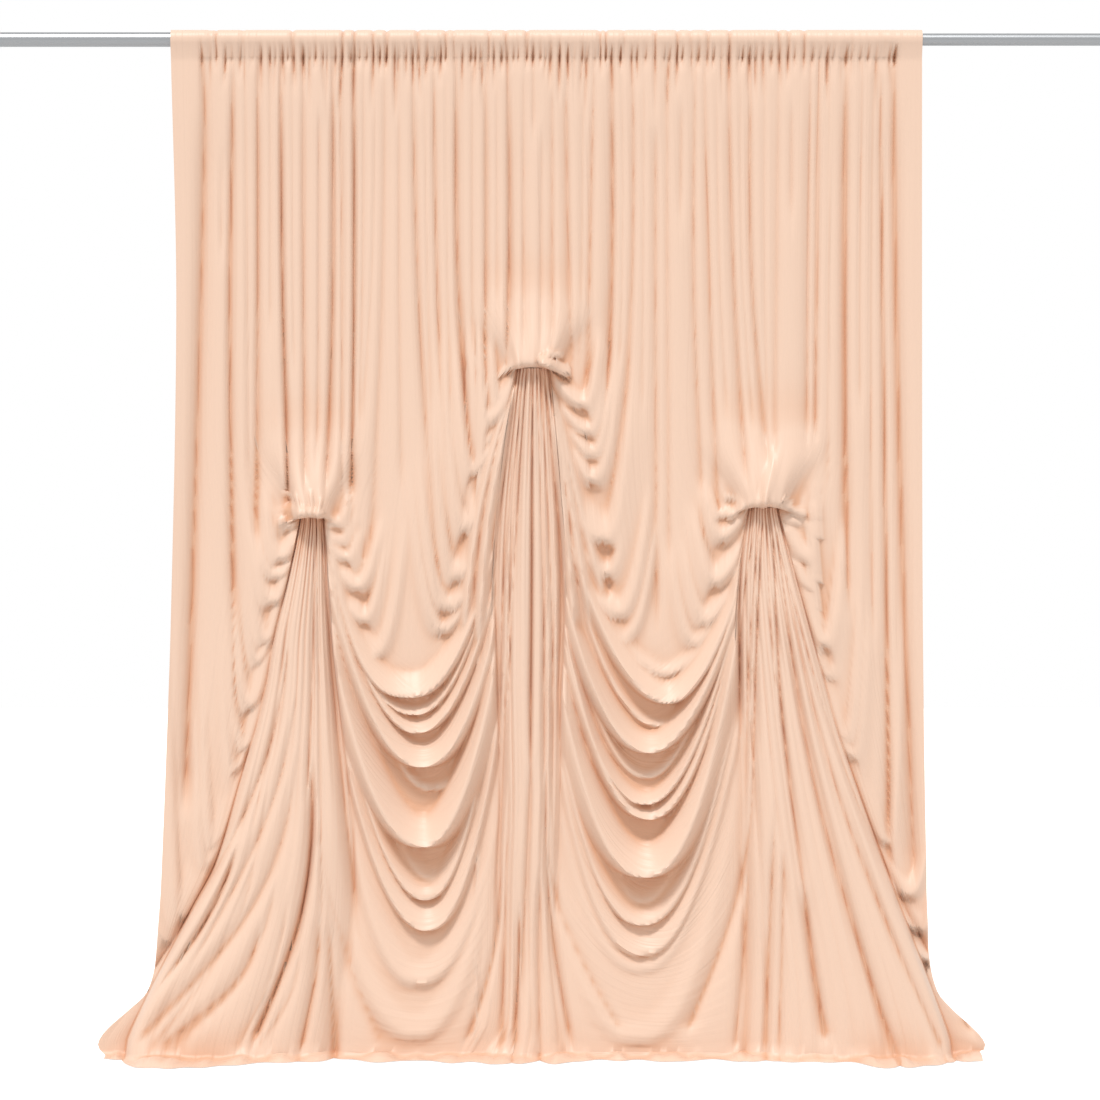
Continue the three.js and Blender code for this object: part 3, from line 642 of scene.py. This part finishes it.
def gather_depth(x, above):
    """Depth of the gathers at a height above the seam, which is negative below it."""
    depth = np.zeros_like(x)
    for at, deep, down, up, lean, width in gather_lines():
        reach = np.where(above > 0, above / up, -above / down)
        wide = width * (1 + 0.8 * np.where(above > 0, 0, reach))
        across = (x - at - lean * above) / wide
        depth -= deep * np.clip(1 - reach, 0, 1) ** 1.3 * np.exp(-np.abs(across) ** 1.5)
    return depth


def pleat_depth(x, z):
    """The straight pleats of the panel, between the seam and the folds below."""
    depth = np.zeros_like(x)
    at_seam, way = PLEAT_OPENING
    opened = at_seam + (1 - at_seam) * smooth((SEAM_Z - z) / way)
    for seam, middle, low, z_low, z_from, deep, width in PLEATS:
        tall = z_low < 1900
        z_mid = PLEAT_MIDDLE_Z if tall else 0.5 * (z_low + SEAM_Z)
        x_mid = middle if tall else 0.5 * (seam + low)
        across = from_crease(x, z, seam, SEAM_Z, x_mid, z_mid, low, z_low)
        fade_low = min(150, 0.4 * (z_from - z_low))
        fade = smooth((z_from - z) / 90) * (1 - smooth((z_low - z + 0.5 * fade_low) / fade_low))
        steep = -1 if seam < 0 else 1
        wide = width * (0.5 + 0.5 * opened) * np.where(across * steep > 0, *PLEAT_SIDES)
        depth -= PLEAT_STRENGTH * deep * opened * fade * np.exp(-np.abs(across / wide) ** 1.2)
    return depth


def hanging_fold(x, z, row, style):
    """One hanging fold: a band with a sharp lower edge and two arms."""
    x_low, z_low, left, left_rise, _, right, right_rise, _, out, band, edge = row
    fade_start, fade_end, least_edge, stand_out = style[:4]
    sides = zip(row[2:5], row[5:8])
    reach, rise, power = (np.where(x < x_low, *values) for values in sides)
    t = np.abs(x - x_low) / reach
    beyond = t > ARM_END
    t = np.minimum(t, ARM_END)
    slope = rise * power / reach * t ** (power - 1)
    above = (z - z_low - rise * t**power) / np.sqrt(1 + slope**2)
    middling = left_rise + (right_rise - left_rise) * smooth(0.5 + (x - x_low) / (left + right))
    arm = np.clip((z - z_low) / middling, 0, 3)
    taper = 1 - ARM_THINNING * smooth(arm)
    fade = 1 - smooth((arm - fade_start) / (fade_end - fade_start))
    fade = fade * (1 - ARM_FADING * smooth(arm))
    ramp = np.clip(1 - above / (band * taper), 0, 1)
    edge = max(edge, least_edge * stand_out * out) * (1 + STEEP_EDGE * slope / (1 + slope))
    under = 1 - smooth(-above / edge)
    return np.where(beyond, 0, stand_out * out * fade * np.where(above >= 0, ramp, under))


def fold_depth(x, z):
    """Depth and sag of all hanging folds, which pass behind the fans."""
    depth, sag = np.zeros_like(x), np.zeros_like(x)
    for table, style in ((SWAGS, SWAG_STYLE), (COWLS, COWL_STYLE)):
        for row in table:
            fold = hanging_fold(x, z, row, style)
            depth = soft_max(depth, fold, FOLD_SOFTNESS)
            sag = np.maximum(sag, style[4] * fold)
    for k, tie in enumerate(TIES):
        _, inside = fan_share(x, z, k)
        behind = np.where(z < tie["z"], 1 - smooth((inside + 4) / 14), 1)
        depth, sag = depth * behind, sag * behind
    return depth, sag


def arm_depth(x, z):
    """The long folds beside a fan, from its neck to the arms of the swags."""
    depth = np.zeros_like(x)
    for row in ARMS:
        _, top, _, _, _, foot, out, width = row
        grown = smooth((top - z) / 260)
        across = from_crease(x, z, *row[:6]) / (width * (0.4 + 0.6 * grown))
        fade = smooth((top - z) / 60) * smooth((z - foot + 60) / 180) * (0.5 + 0.5 * grown)
        depth = np.maximum(depth, out * fade * np.exp(-np.abs(across) ** 1.6))
    return depth


def furrow_depth(x, z):
    depth = np.zeros_like(x)
    for row in FURROWS:
        _, top, _, _, _, foot, deep, width = row
        across = from_crease(x, z, *row[:6])
        below_tie, narrow, shallow, growth = FURROW_AT_TIE
        start = end = FURROW_FADE * (top - foot)
        if any(-5 < tie["z"] - top < below_tie for tie in TIES):
            start = 30
            grown = smooth((top - z) / growth)
            width = width * (narrow + (1 - narrow) * grown)
            deep = deep * (shallow + (1 - shallow) * grown)
        if foot < 100:
            end = 40
        fade = smooth((top - z) / start) * smooth((z - foot + 0.5 * end) / end)
        valley = deep * fade * np.exp(-np.abs(across / (0.62 * width)) ** 1.05)
        depth = np.maximum(depth, FURROW_STRENGTH * valley)
    return depth


def fan_share(x, z, k):
    """How far across a fan a point lies, and its distance from the nearer edge."""
    left, right = (along(*DIVIDERS[2 * k + side], z) for side in (1, 2))
    return np.clip((x - left) / (right - left), 1e-6, 1 - 1e-6), np.minimum(x - left, right - x)


def rib_lines(k):
    """The small ribs that run out from a neck: share across the fan, depth, width and length."""
    rng = np.random.default_rng(RIB_SEED + k)
    for i in range(RIB_COUNT):
        share = (i + rng.uniform(0.3, 0.9)) / (RIB_COUNT + 0.4)
        yield share, *(rng.uniform(*limits) for limits in (RIB_DEPTH, RIB_WIDTH, RIB_LENGTH))


def fan_depth(x, z, k):
    """The fan below a tie, full in its middle and falling away to both edges, and its ribs."""
    tie = TIES[k]
    share, inside = fan_share(x, z, k)
    fall = np.clip((tie["z"] - z) / tie["z"], 0, 1)
    full = FAN_OUT[0] + FAN_OUT[1] * smooth(fall / FAN_OUT_AT) + FAN_OUT[2] * fall
    wide = inside / np.minimum(share, 1 - share)
    growth, below, way = FAN_SIDE_GROWTH
    spread = FAN_SIDE + growth * smooth((tie["z"] - below - z) / way)
    growth, from_z, way = FAN_SIDE_SPREAD
    spread = spread + growth * smooth((from_z - z) / way)
    for side, from_edge in enumerate((share * wide, (1 - share) * wide)):
        outer = (k, side) in ((0, 0), (2, 1))
        full = full * (1 - np.exp(-np.clip(from_edge, 0, None) / (FAN_SIDE if outer else spread)))
    ribs = np.zeros_like(x)
    for at, deep, width, length in rib_lines(k):
        wide = width * (1 + 0.5 * np.exp(-fall / 0.05))
        grown = deep * (0.8 + 0.6 * np.exp(-fall / 0.1) + 0.3 * smooth(fall / 0.5))
        grown = grown * (1 - smooth(fall / length))
        ribs += grown * np.exp(-np.abs((share - at) / wide) ** 1.2)
    here = (inside > 0) & (z < tie["z"] - 4)
    return np.where(here, full, -300), np.where(here, ribs, 0)


def pouch_depth(x, z, tie):
    """The pouch over a tie: a long swell that rolls under at the lip and is puckered there."""
    above = z - tie["z"]
    wide = tie["pouch"] * (1 + 1.3 * smooth(above / (2.2 * tie["rise"])))
    across = (x - tie["x"]) / wide
    body = smooth(1.5 * (1 - np.abs(across)))
    above = above + POUCH_ARCH * across**2
    roll = np.sqrt(1 - (1 - np.clip(above / POUCH_LIP, 0, 1)) ** 2)
    long = (1 - smooth(above / (POUCH_LENGTH * tie["rise"]))) ** 1.2
    wave = np.sin(across * 13 + 2.5 * np.sin(across * 4 + tie["x"])) + 0.6 * np.sin(across * 27 + 1)
    fade = np.exp(-np.clip(above - 6, 0, None) / 40) * smooth(above / 8)
    return body * (POUCH_OUT * roll * long + PUCKER_DEPTH * wave * fade)


def roll_depth(x, z):
    """The crumpled rolls at the ties, each rounded between its two ends."""
    depth = np.zeros_like(x)
    for x1, z1, x2, z2, radius, out in ROLLS:
        along_x, along_z = x2 - x1, z2 - z1
        t = ((x - x1) * along_x + (z - z1) * along_z) / (along_x**2 + along_z**2)
        t = np.clip(t, 0, 1)
        away = np.hypot(x - x1 - t * along_x, z - z1 - t * along_z) / radius
        depth = np.maximum(depth, out * np.sqrt(np.clip(1 - away**2, 0, 1)))
    return depth


def cloth_depth(x, z):
    """How far the cloth stands towards the viewer, and how far it sags."""
    folds, sag = fold_depth(x, z)
    folds = soft_max(folds, arm_depth(x, z), FOLD_SOFTNESS)
    pouches = sum(pouch_depth(x, z, tie) for tie in TIES) + roll_depth(x, z)
    (left, left_way), (right, right_way) = BAY_ENDS
    between = smooth((x - left) / left_way) * smooth((right - x) / right_way)
    swing = BAY_SWING * between * smooth(1 - z / BAY_SWING_HEIGHT)
    pleats = pleat_depth(x, z) * (1 - PLEAT_HIDING * smooth(folds / 24))
    depth = pleats + gather_depth(x, np.minimum(z - SEAM_Z, 0)) + folds + swing
    for k in range(3):
        fan, ribs = fan_depth(x, z, k)
        depth = soft_max(depth, fan, FOLD_SOFTNESS) - ribs
    depth = depth - furrow_depth(x, z)
    return depth + pouches, np.maximum(sag, POUCH_SAG * pouches)


def net():
    """Part and share of every column, and the heights of the guide rows at every column."""
    parts = np.concatenate([np.full(n, i) for i, n in enumerate(PART_COLUMNS)] + [[6]])
    shares = np.concatenate([np.arange(n) / n for n in PART_COLUMNS] + [[1.0]])
    sides = {0: ("hem_left", "fan_1"), 6: ("hem_right", "fan_3")}
    bays = {2: ("fan_1", "bay_1", "fan_2"), 4: ("fan_2", "bay_2", "fan_3")}
    rows = []
    for values in GUIDE_ROWS:
        row = dict(zip(GUIDE_COLUMNS, values))
        heights = np.empty(len(parts))
        for part in range(7):
            here = parts == part
            share = shares[here]
            if part in bays:
                left, low, right = (row[name] for name in bays[part])
                k = part // 2 - 1
                steps = [
                    row["step"] * smooth((TIES[k + i]["z"] - 20 - end) / 130)
                    for i, end in enumerate((left, right))
                ]
                falls = [(1 - step) * (end - low) for step, end in zip(steps, (left, right))]
                fall = np.where(share < 0.5, *falls)
                heights[here] = low + fall * np.abs(2 * share - 1) ** row["power"]
            elif part in sides:
                hem, fan = (row[name] for name in sides[part])
                inward = share if part == 0 else 1 - share
                heights[here] = hem + (fan - hem) * inward**OUTER_SAG_POWER
            else:
                heights[here] = row[("fan_1", "fan_2", "fan_3")[part // 2]]
        rows.append(heights)
    return parts, shares, np.array(rows)


def row_heights(parts, shares, guides):
    """Heights of all rows, which lie evenly along the folded cloth between two guide rows."""
    rows = []
    for i, values in enumerate(GUIDE_ROWS[:-1]):
        count = values[-1]
        steps = np.linspace(0, 1, ROW_SAMPLES * count + 1)[:, None]
        z = guides[i] + (guides[i + 1] - guides[i]) * steps
        depth, _ = cloth_depth(column_x(parts, shares, z), z)
        turn = np.abs(np.diff(depth, axis=0))
        for _ in range(ROW_EVENING):
            turn = 0.5 * turn + 0.25 * (np.roll(turn, 1, 1) + np.roll(turn, -1, 1))
        length = np.hypot(np.diff(z, axis=0), ROW_CROWDING * turn)
        run = np.concatenate([np.zeros((1, z.shape[1])), np.cumsum(length, 0)])
        wanted = np.arange(count) / count
        rows.append(np.stack([
            np.interp(wanted * run[-1, k], run[:, k], z[:, k]) for k in range(z.shape[1])
        ], 1))
    return np.concatenate([*rows, guides[-1:]])


def column_x(parts, shares, z):
    """Where every column runs. In a bay only those beside a neck are drawn in to it."""
    left, right, calm_left, calm_right = (
        np.choose(parts + side, [along(*divider, z) for divider in dividers])
        for dividers in (DIVIDERS, CALM_DIVIDERS)
        for side in (0, 1)
    )
    near_left, near_right = (1 - shares) ** DRAW_FALLOFF, shares**DRAW_FALLOFF
    bay = calm_left + (calm_right - calm_left) * shares
    bay = bay + (left - calm_left) * near_left + (right - calm_right) * near_right
    x = np.where(parts % 2 == 0, bay, left + (right - left) * shares)
    for part in (0, 2, 4, 6):
        here = np.flatnonzero(parts == part)[1:]
        steps = np.arange(1, len(here) + 1) * COLUMN_GAP
        first = x[:, here[0] - 1, None]
        last = x[:, min(here[-1] + 1, x.shape[1] - 1), None]
        low = np.maximum.accumulate(np.maximum(x[:, here], first + steps) - steps, 1) + steps
        back = steps[::-1]
        high = np.minimum(low, last - back) + back
        x[:, here] = np.minimum.accumulate(high[:, ::-1], 1)[:, ::-1] - back
    return x


def curtain_points():
    """All points of the sheet, row by row from the tail behind the bar to the hem."""
    parts, shares, guides = net()
    heights = row_heights(parts, shares, guides)
    x = column_x(parts, shares, heights)
    depth, sag = cloth_depth(x, heights)
    panel = np.stack([x, BAR_Y - SEAM_DEPTH - depth, heights - sag], -1)

    seam_x = x[0]
    pocket = []
    for angle in np.radians(np.linspace(*POCKET_DEGREES, POCKET_ROWS)):
        above = (BAR_Z + BAR_RADIUS * math.sin(angle)) - SEAM_Z
        ruffle = RUFFLE + gather_depth(seam_x, np.full_like(seam_x, above * 0.6))
        ruffle = np.clip(ruffle, 0, RUFFLE_MOST) * (0.55 + 0.45 * abs(math.cos(angle)))
        radius = BAR_RADIUS + POCKET_GAP + ruffle
        pocket.append(np.stack([
            seam_x,
            BAR_Y - radius * math.cos(angle),
            BAR_Z + radius * math.sin(angle),
        ], -1))
    flap = [
        np.stack([seam_x, panel[0, :, 1] + 3, np.full_like(seam_x, z)], -1)
        for z in (SEAM_Z - POCKET_TAIL, SEAM_Z)
    ]

    runs = along(*zip(*HEM_RUN), x[-1])
    furrow = np.clip(furrow_depth(x[-1], heights[-1]) / 30, 0, 1)
    runs = runs * (1 - (1 - HEM_RUN_IN_VALLEY) * furrow)
    crumple = np.zeros_like(runs)
    for length, high, change in CRUMPLES:
        wave = np.sin(2 * np.pi * (x[-1] / length + 0.35 * np.sin(x[-1] / (1.7 * length))))
        crumple += high * np.clip(wave, -0.2, 1) ** 2
        runs = runs + change * wave
    runs = np.clip(runs, 6, None)
    floor = []
    curve = HEM_BEND_RADIUS * 0.5 * np.pi
    for i in range(1, FLOOR_ROWS + 1):
        turned = (curve + runs) * i / FLOOR_ROWS
        bend = np.minimum(turned / HEM_BEND_RADIUS, 0.5 * np.pi)
        flat = np.maximum(turned - curve, 0)
        z = HEM_BEND_RADIUS * (1 - np.sin(bend)) + 2
        z = z + crumple * np.sin(np.pi * i / FLOOR_ROWS) ** 0.7
        forward = HEM_BEND_RADIUS * (1 - np.cos(bend)) + flat
        out = column_x(parts, shares, np.clip(heights[-1] - turned, 0, None)[None])[0]
        floor.append(np.stack([out, panel[-1, :, 1] - forward, z], -1))
    return np.concatenate([flap, pocket, panel, floor])


def shade(points):
    """How far every point lies back under the folds that hang above it."""
    depth, z = -points[..., 1], points[..., 2]
    lip = depth.copy()
    for i in range(POCKET_ROWS + 3, len(depth)):
        lip[i] = np.maximum(lip[i - 1] - SHADE_SLOPE * np.clip(z[i - 1] - z[i], 0, None), depth[i])
    return np.clip((lip - depth) / SHADE_DEPTH, 0, 1)


def painted_shade_strength(points):
    """Painted shade for every point: how deep it lies behind the mean of the sheet around it, and
    in shade, and at the hem on the floor.
    """
    depth = -points[..., 1]
    painted_shade = SHADE_STRENGTH * shade(points)
    for size, full in PAINTED_SHADE_SIZES:
        mean = depth
        for axis in (1, 0):
            beside = mean
            places = np.arange(depth.shape[axis])
            total = np.zeros_like(depth)
            for step in range(-size, size + 1):
                near = np.take(mean, places + step, axis, mode="clip")
                total += (size + 1 - abs(step)) * near
            mean = total / (size + 1) ** 2
        mean[:SEAM_ROWS] = beside[:SEAM_ROWS]
        painted_shade += np.clip((mean - depth) / full, -0.3, 1)
    painted_shade[-FLOOR_ROWS:] += np.linspace(*HEM_SHADE, FLOOR_ROWS)[:, None]
    return painted_shade


def spread(points):
    """How far the columns are spread, as a share of their distance in the flat cloth."""
    apart = np.gradient(points[..., 0], axis=1)
    return np.clip(apart / (3050 / (points.shape[1] - 1)), 0, 1)


def crosswise(shape):
    """Where the fine creases run across the cloth: in the swags of both bays."""
    parts, shares, _ = net()
    counts = np.cumsum([0] + [row[-1] for row in GUIDE_ROWS])
    start, full = counts[6] + POCKET_ROWS + 2, counts[8] + POCKET_ROWS + 2
    down = smooth((np.arange(shape[0]) - start) / (full - start))
    middle = smooth(shares / 0.14) * smooth((1 - shares) / 0.14) * np.isin(parts, (2, 4))
    return down[:, None] * middle


def link(name, data):
    placed = bpy.data.objects.new(name, data)
    bpy.context.scene.collection.objects.link(placed)
    return placed


def sheet_mesh(name, points, flat):
    """A grid whose vertices stand at the given points, with the sheet's flat size in its UV map."""
    rows, columns = points.shape[:2]
    bm = bmesh.new()
    bmesh.ops.create_grid(bm, x_segments=columns - 1, y_segments=rows - 1, size=1.0)
    for vert, point in zip(bm.verts, points[::-1].reshape(-1, 3) * MM):
        vert.co = point
    bm.verts.index_update()
    uv = bm.loops.layers.uv.new("cloth")
    across = np.linspace(0, flat[0], columns)
    down = np.linspace(0, flat[1], rows)
    for face in bm.faces:
        face.smooth = True
        for loop in face.loops:
            row, column = divmod(loop.vert.index, columns)
            loop[uv].uv = (across[column], down[row])
    mesh = bpy.data.meshes.new(name)
    bm.to_mesh(mesh)
    bm.free()
    mesh.set_sharp_from_angle(angle=math.radians(SHARP_DEGREES))
    # The crease attribute holds the strength of the painted shade; the other two steer the bump of
    # the fine creases.
    kinds = {
        "crease": painted_shade_strength(points), "crosswise": crosswise(points.shape), "spread": spread(points),
    }
    for kind, values in kinds.items():
        attribute = mesh.attributes.new(kind, "FLOAT", "POINT")
        attribute.data.foreach_set("value", values[::-1].reshape(-1).astype(np.float32))
    return mesh


def shader(name, color, roughness, metallic=0.0):
    material = bpy.data.materials.new(name)
    material.use_nodes = True
    bsdf = material.node_tree.nodes["Principled BSDF"]
    bsdf.inputs["Base Color"].default_value = (*color, 1)
    bsdf.inputs["Roughness"].default_value = roughness
    bsdf.inputs["Metallic"].default_value = metallic
    return material, bsdf


def cloth_material(settings):
    material, bsdf = shader("peach_spandex", settings.cloth_color, settings.roughness)
    bsdf.inputs["Sheen Weight"].default_value = settings.sheen
    nodes, links = material.node_tree.nodes, material.node_tree.links
    # The base colour has shade painted into it in the creases, under the folds and at the hem.
    group = nodes.new("ShaderNodeGroup")
    group.node_tree = painted_shade_colour_group(settings)
    links.new(group.outputs["Color"], bsdf.inputs["Base Color"])
    creases = nodes.new("ShaderNodeGroup")
    creases.node_tree = fine_crease_group()
    bump = nodes.new("ShaderNodeBump")
    bump.inputs["Distance"].default_value = settings.fine_creases
    links.new(creases.outputs["Height"], bump.inputs["Height"])
    links.new(bump.outputs["Normal"], bsdf.inputs["Normal"])
    return material


def measure(nodes, name):
    """One of the values that every vertex of the sheet carries."""
    attribute = nodes.new("ShaderNodeAttribute")
    attribute.attribute_name = name
    return attribute.outputs["Fac"]


def fine_crease_group():
    """Height of the creases too fine for the net, which run across the cloth in the swags."""
    group = bpy.data.node_groups.new("fine_creases", "ShaderNodeTree")
    group.interface.new_socket("Height", in_out="OUTPUT", socket_type="NodeSocketFloat")
    nodes, links = group.nodes, group.links
    out = nodes.new("NodeGroupOutput")
    place = nodes.new("ShaderNodeUVMap")
    place.uv_map = "cloth"
    heights = []
    for stretch in FINE_CREASES:
        scaled = nodes.new("ShaderNodeVectorMath")
        scaled.operation = "MULTIPLY"
        scaled.inputs[1].default_value = (*stretch, 0)
        noise = nodes.new("ShaderNodeTexNoise")
        noise.noise_dimensions = "2D"
        noise.inputs["Scale"].default_value = 1.0
        links.new(place.outputs["UV"], scaled.inputs[0])
        links.new(scaled.outputs["Vector"], noise.inputs["Vector"])
        heights.append(noise.outputs["Fac"])
    mix = nodes.new("ShaderNodeMix")
    scale = nodes.new("ShaderNodeMath")
    scale.operation = "MULTIPLY"
    links.new(measure(nodes, "crosswise"), mix.inputs["Factor"])
    links.new(heights[0], mix.inputs["A"])
    links.new(heights[1], mix.inputs["B"])
    links.new(mix.outputs["Result"], scale.inputs[0])
    links.new(measure(nodes, "spread"), scale.inputs[1])
    links.new(scale.outputs["Value"], out.inputs["Height"])
    return group


def painted_shade_colour_group(settings):
    """The colour of the cloth with painted shade: darker and warmer down in the creases, under the
    hanging folds and along the hem on the floor.
    """
    group = bpy.data.node_groups.new("cloth_colour_painted_shade", "ShaderNodeTree")
    group.interface.new_socket("Color", in_out="OUTPUT", socket_type="NodeSocketColor")
    nodes, links = group.nodes, group.links
    out = nodes.new("NodeGroupOutput")
    ramp = nodes.new("ShaderNodeValToRGB")
    ramp.color_ramp.interpolation = "B_SPLINE"
    places = ramp.color_ramp.elements
    places[0].color = (*settings.cloth_color, 1)
    places[1].color = (*settings.painted_shade_color, 1)
    # Painted shade: the crease attribute moves the colour from the cloth's own towards the painted
    # shade colour.
    links.new(measure(nodes, "crease"), ramp.inputs["Fac"])
    links.new(ramp.outputs["Color"], out.inputs["Color"])
    return group


def build_curtain(settings):
    flat = (settings.flat_width, settings.flat_height)
    mesh = sheet_mesh("curtain_sheet", curtain_points(), flat)
    mesh.materials.append(cloth_material(settings))
    piece = link("curtain_sheet", mesh)
    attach(piece, "root")
    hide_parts("curtain")


def finish_crossbar(settings):
    """Give both tubes their metal. They are shown as they come."""
    material, _ = shader("satin_aluminium", settings.color, settings.roughness, 1.0)
    for node in ("crossbar_outer", "crossbar_inner"):
        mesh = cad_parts[node].data
        mesh.materials.clear()
        mesh.materials.append(material)


def set_seen(tree, socket, seen, cast):
    """Give a strength one value where the camera sees it and another one for the light it casts."""
    paths = tree.nodes.new("ShaderNodeLightPath")
    strength = tree.nodes.new("ShaderNodeMapRange")
    strength.inputs["To Min"].default_value = cast
    strength.inputs["To Max"].default_value = seen
    tree.links.new(paths.outputs["Is Camera Ray"], strength.inputs["Value"])
    tree.links.new(strength.outputs["Result"], socket)


def build_floor(settings):
    bm = bmesh.new()
    bmesh.ops.create_grid(bm, x_segments=1, y_segments=1, size=settings.floor_size)
    mesh = bpy.data.meshes.new("floor")
    bm.to_mesh(mesh)
    bm.free()
    material, bsdf = shader("pale_floor", (0.72, 0.72, 0.72), 0.9)
    set_seen(material.node_tree, bsdf.inputs["Emission Strength"], 0.56, 0)
    mesh.materials.append(material)
    link("floor", mesh)


def light_stage(settings):
    world = bpy.data.worlds.new("studio")
    world.use_nodes = True
    background = world.node_tree.nodes["Background"]
    background.inputs["Color"].default_value = (1, 1, 1, 1)
    set_seen(world.node_tree, background.inputs["Strength"], 1, settings.sky)
    bpy.context.scene.world = world

    light = bpy.data.lights.new("key", "SUN")
    light.angle = settings.sun_softness
    light.energy = settings.sun
    lamp = link("key", light)
    lamp.location = settings.sun_place
    lamp.rotation_euler = (-Vector(settings.sun_place)).to_track_quat("-Z", "Y").to_euler()


def place_camera(settings):
    scene = bpy.context.scene
    camera = bpy.data.cameras.new("camera")
    view = link("camera", camera)
    away = CLOTH_PLANE_Y - settings.view_place[1]
    camera.lens = camera.sensor_width * away / settings.view_width
    view.location = settings.view_place
    view.rotation_euler = (math.radians(90), 0, 0)
    scene.camera = view
    scene.view_settings.view_transform = "Standard"


class BACKDROP_OT_build_curtain(bpy.types.Operator):
    """Build the gathered and tied up sheet of cloth"""

    bl_idname = "backdrop.build_curtain"
    bl_label = "Build curtain"

    def execute(self, context):
        build_curtain(context.scene.backdrop_curtain)
        return {"FINISHED"}


class BACKDROP_OT_finish_crossbar(bpy.types.Operator):
    """Give the tubes of the crossbar their satin metal"""

    bl_idname = "backdrop.finish_crossbar"
    bl_label = "Finish crossbar"

    def execute(self, context):
        finish_crossbar(context.scene.backdrop_crossbar)
        return {"FINISHED"}


class BACKDROP_OT_set_stage(bpy.types.Operator):
    """Set up the floor, the light and the camera"""

    bl_idname = "backdrop.set_stage"
    bl_label = "Set stage"

    def execute(self, context):
        settings = context.scene.backdrop_stage
        build_floor(settings)
        light_stage(settings)
        place_camera(settings)
        return {"FINISHED"}


class BACKDROP_PT_panel(bpy.types.Panel):
    """Settings and steps of the backdrop curtain"""

    bl_idname = "BACKDROP_PT_panel"
    bl_label = "Backdrop curtain"
    bl_space_type = "VIEW_3D"
    bl_region_type = "UI"
    bl_category = "Curtain"

    def draw(self, context):
        for name, (_, operator) in STEPS.items():
            box = self.layout.box()
            settings = getattr(context.scene, name)
            for key in settings.__annotations__:
                box.prop(settings, key)
            box.operator(operator.bl_idname)


STEPS = {
    "backdrop_curtain": (CurtainSettings, BACKDROP_OT_build_curtain),
    "backdrop_crossbar": (CrossbarSettings, BACKDROP_OT_finish_crossbar),
    "backdrop_stage": (StageSettings, BACKDROP_OT_set_stage),
}
CLASSES = (*(cls for step in STEPS.values() for cls in step), BACKDROP_PT_panel)


def register():
    for cls in CLASSES:
        bpy.utils.register_class(cls)
    for name, (settings, _) in STEPS.items():
        setattr(bpy.types.Scene, name, bpy.props.PointerProperty(type=settings))


def unregister():
    for name in STEPS:
        delattr(bpy.types.Scene, name)
    for cls in reversed(CLASSES):
        bpy.utils.unregister_class(cls)


def main():
    register()
    bpy.ops.backdrop.build_curtain()
    bpy.ops.backdrop.finish_crossbar()
    bpy.ops.backdrop.set_stage()


if __name__ == "__main__":
    main()
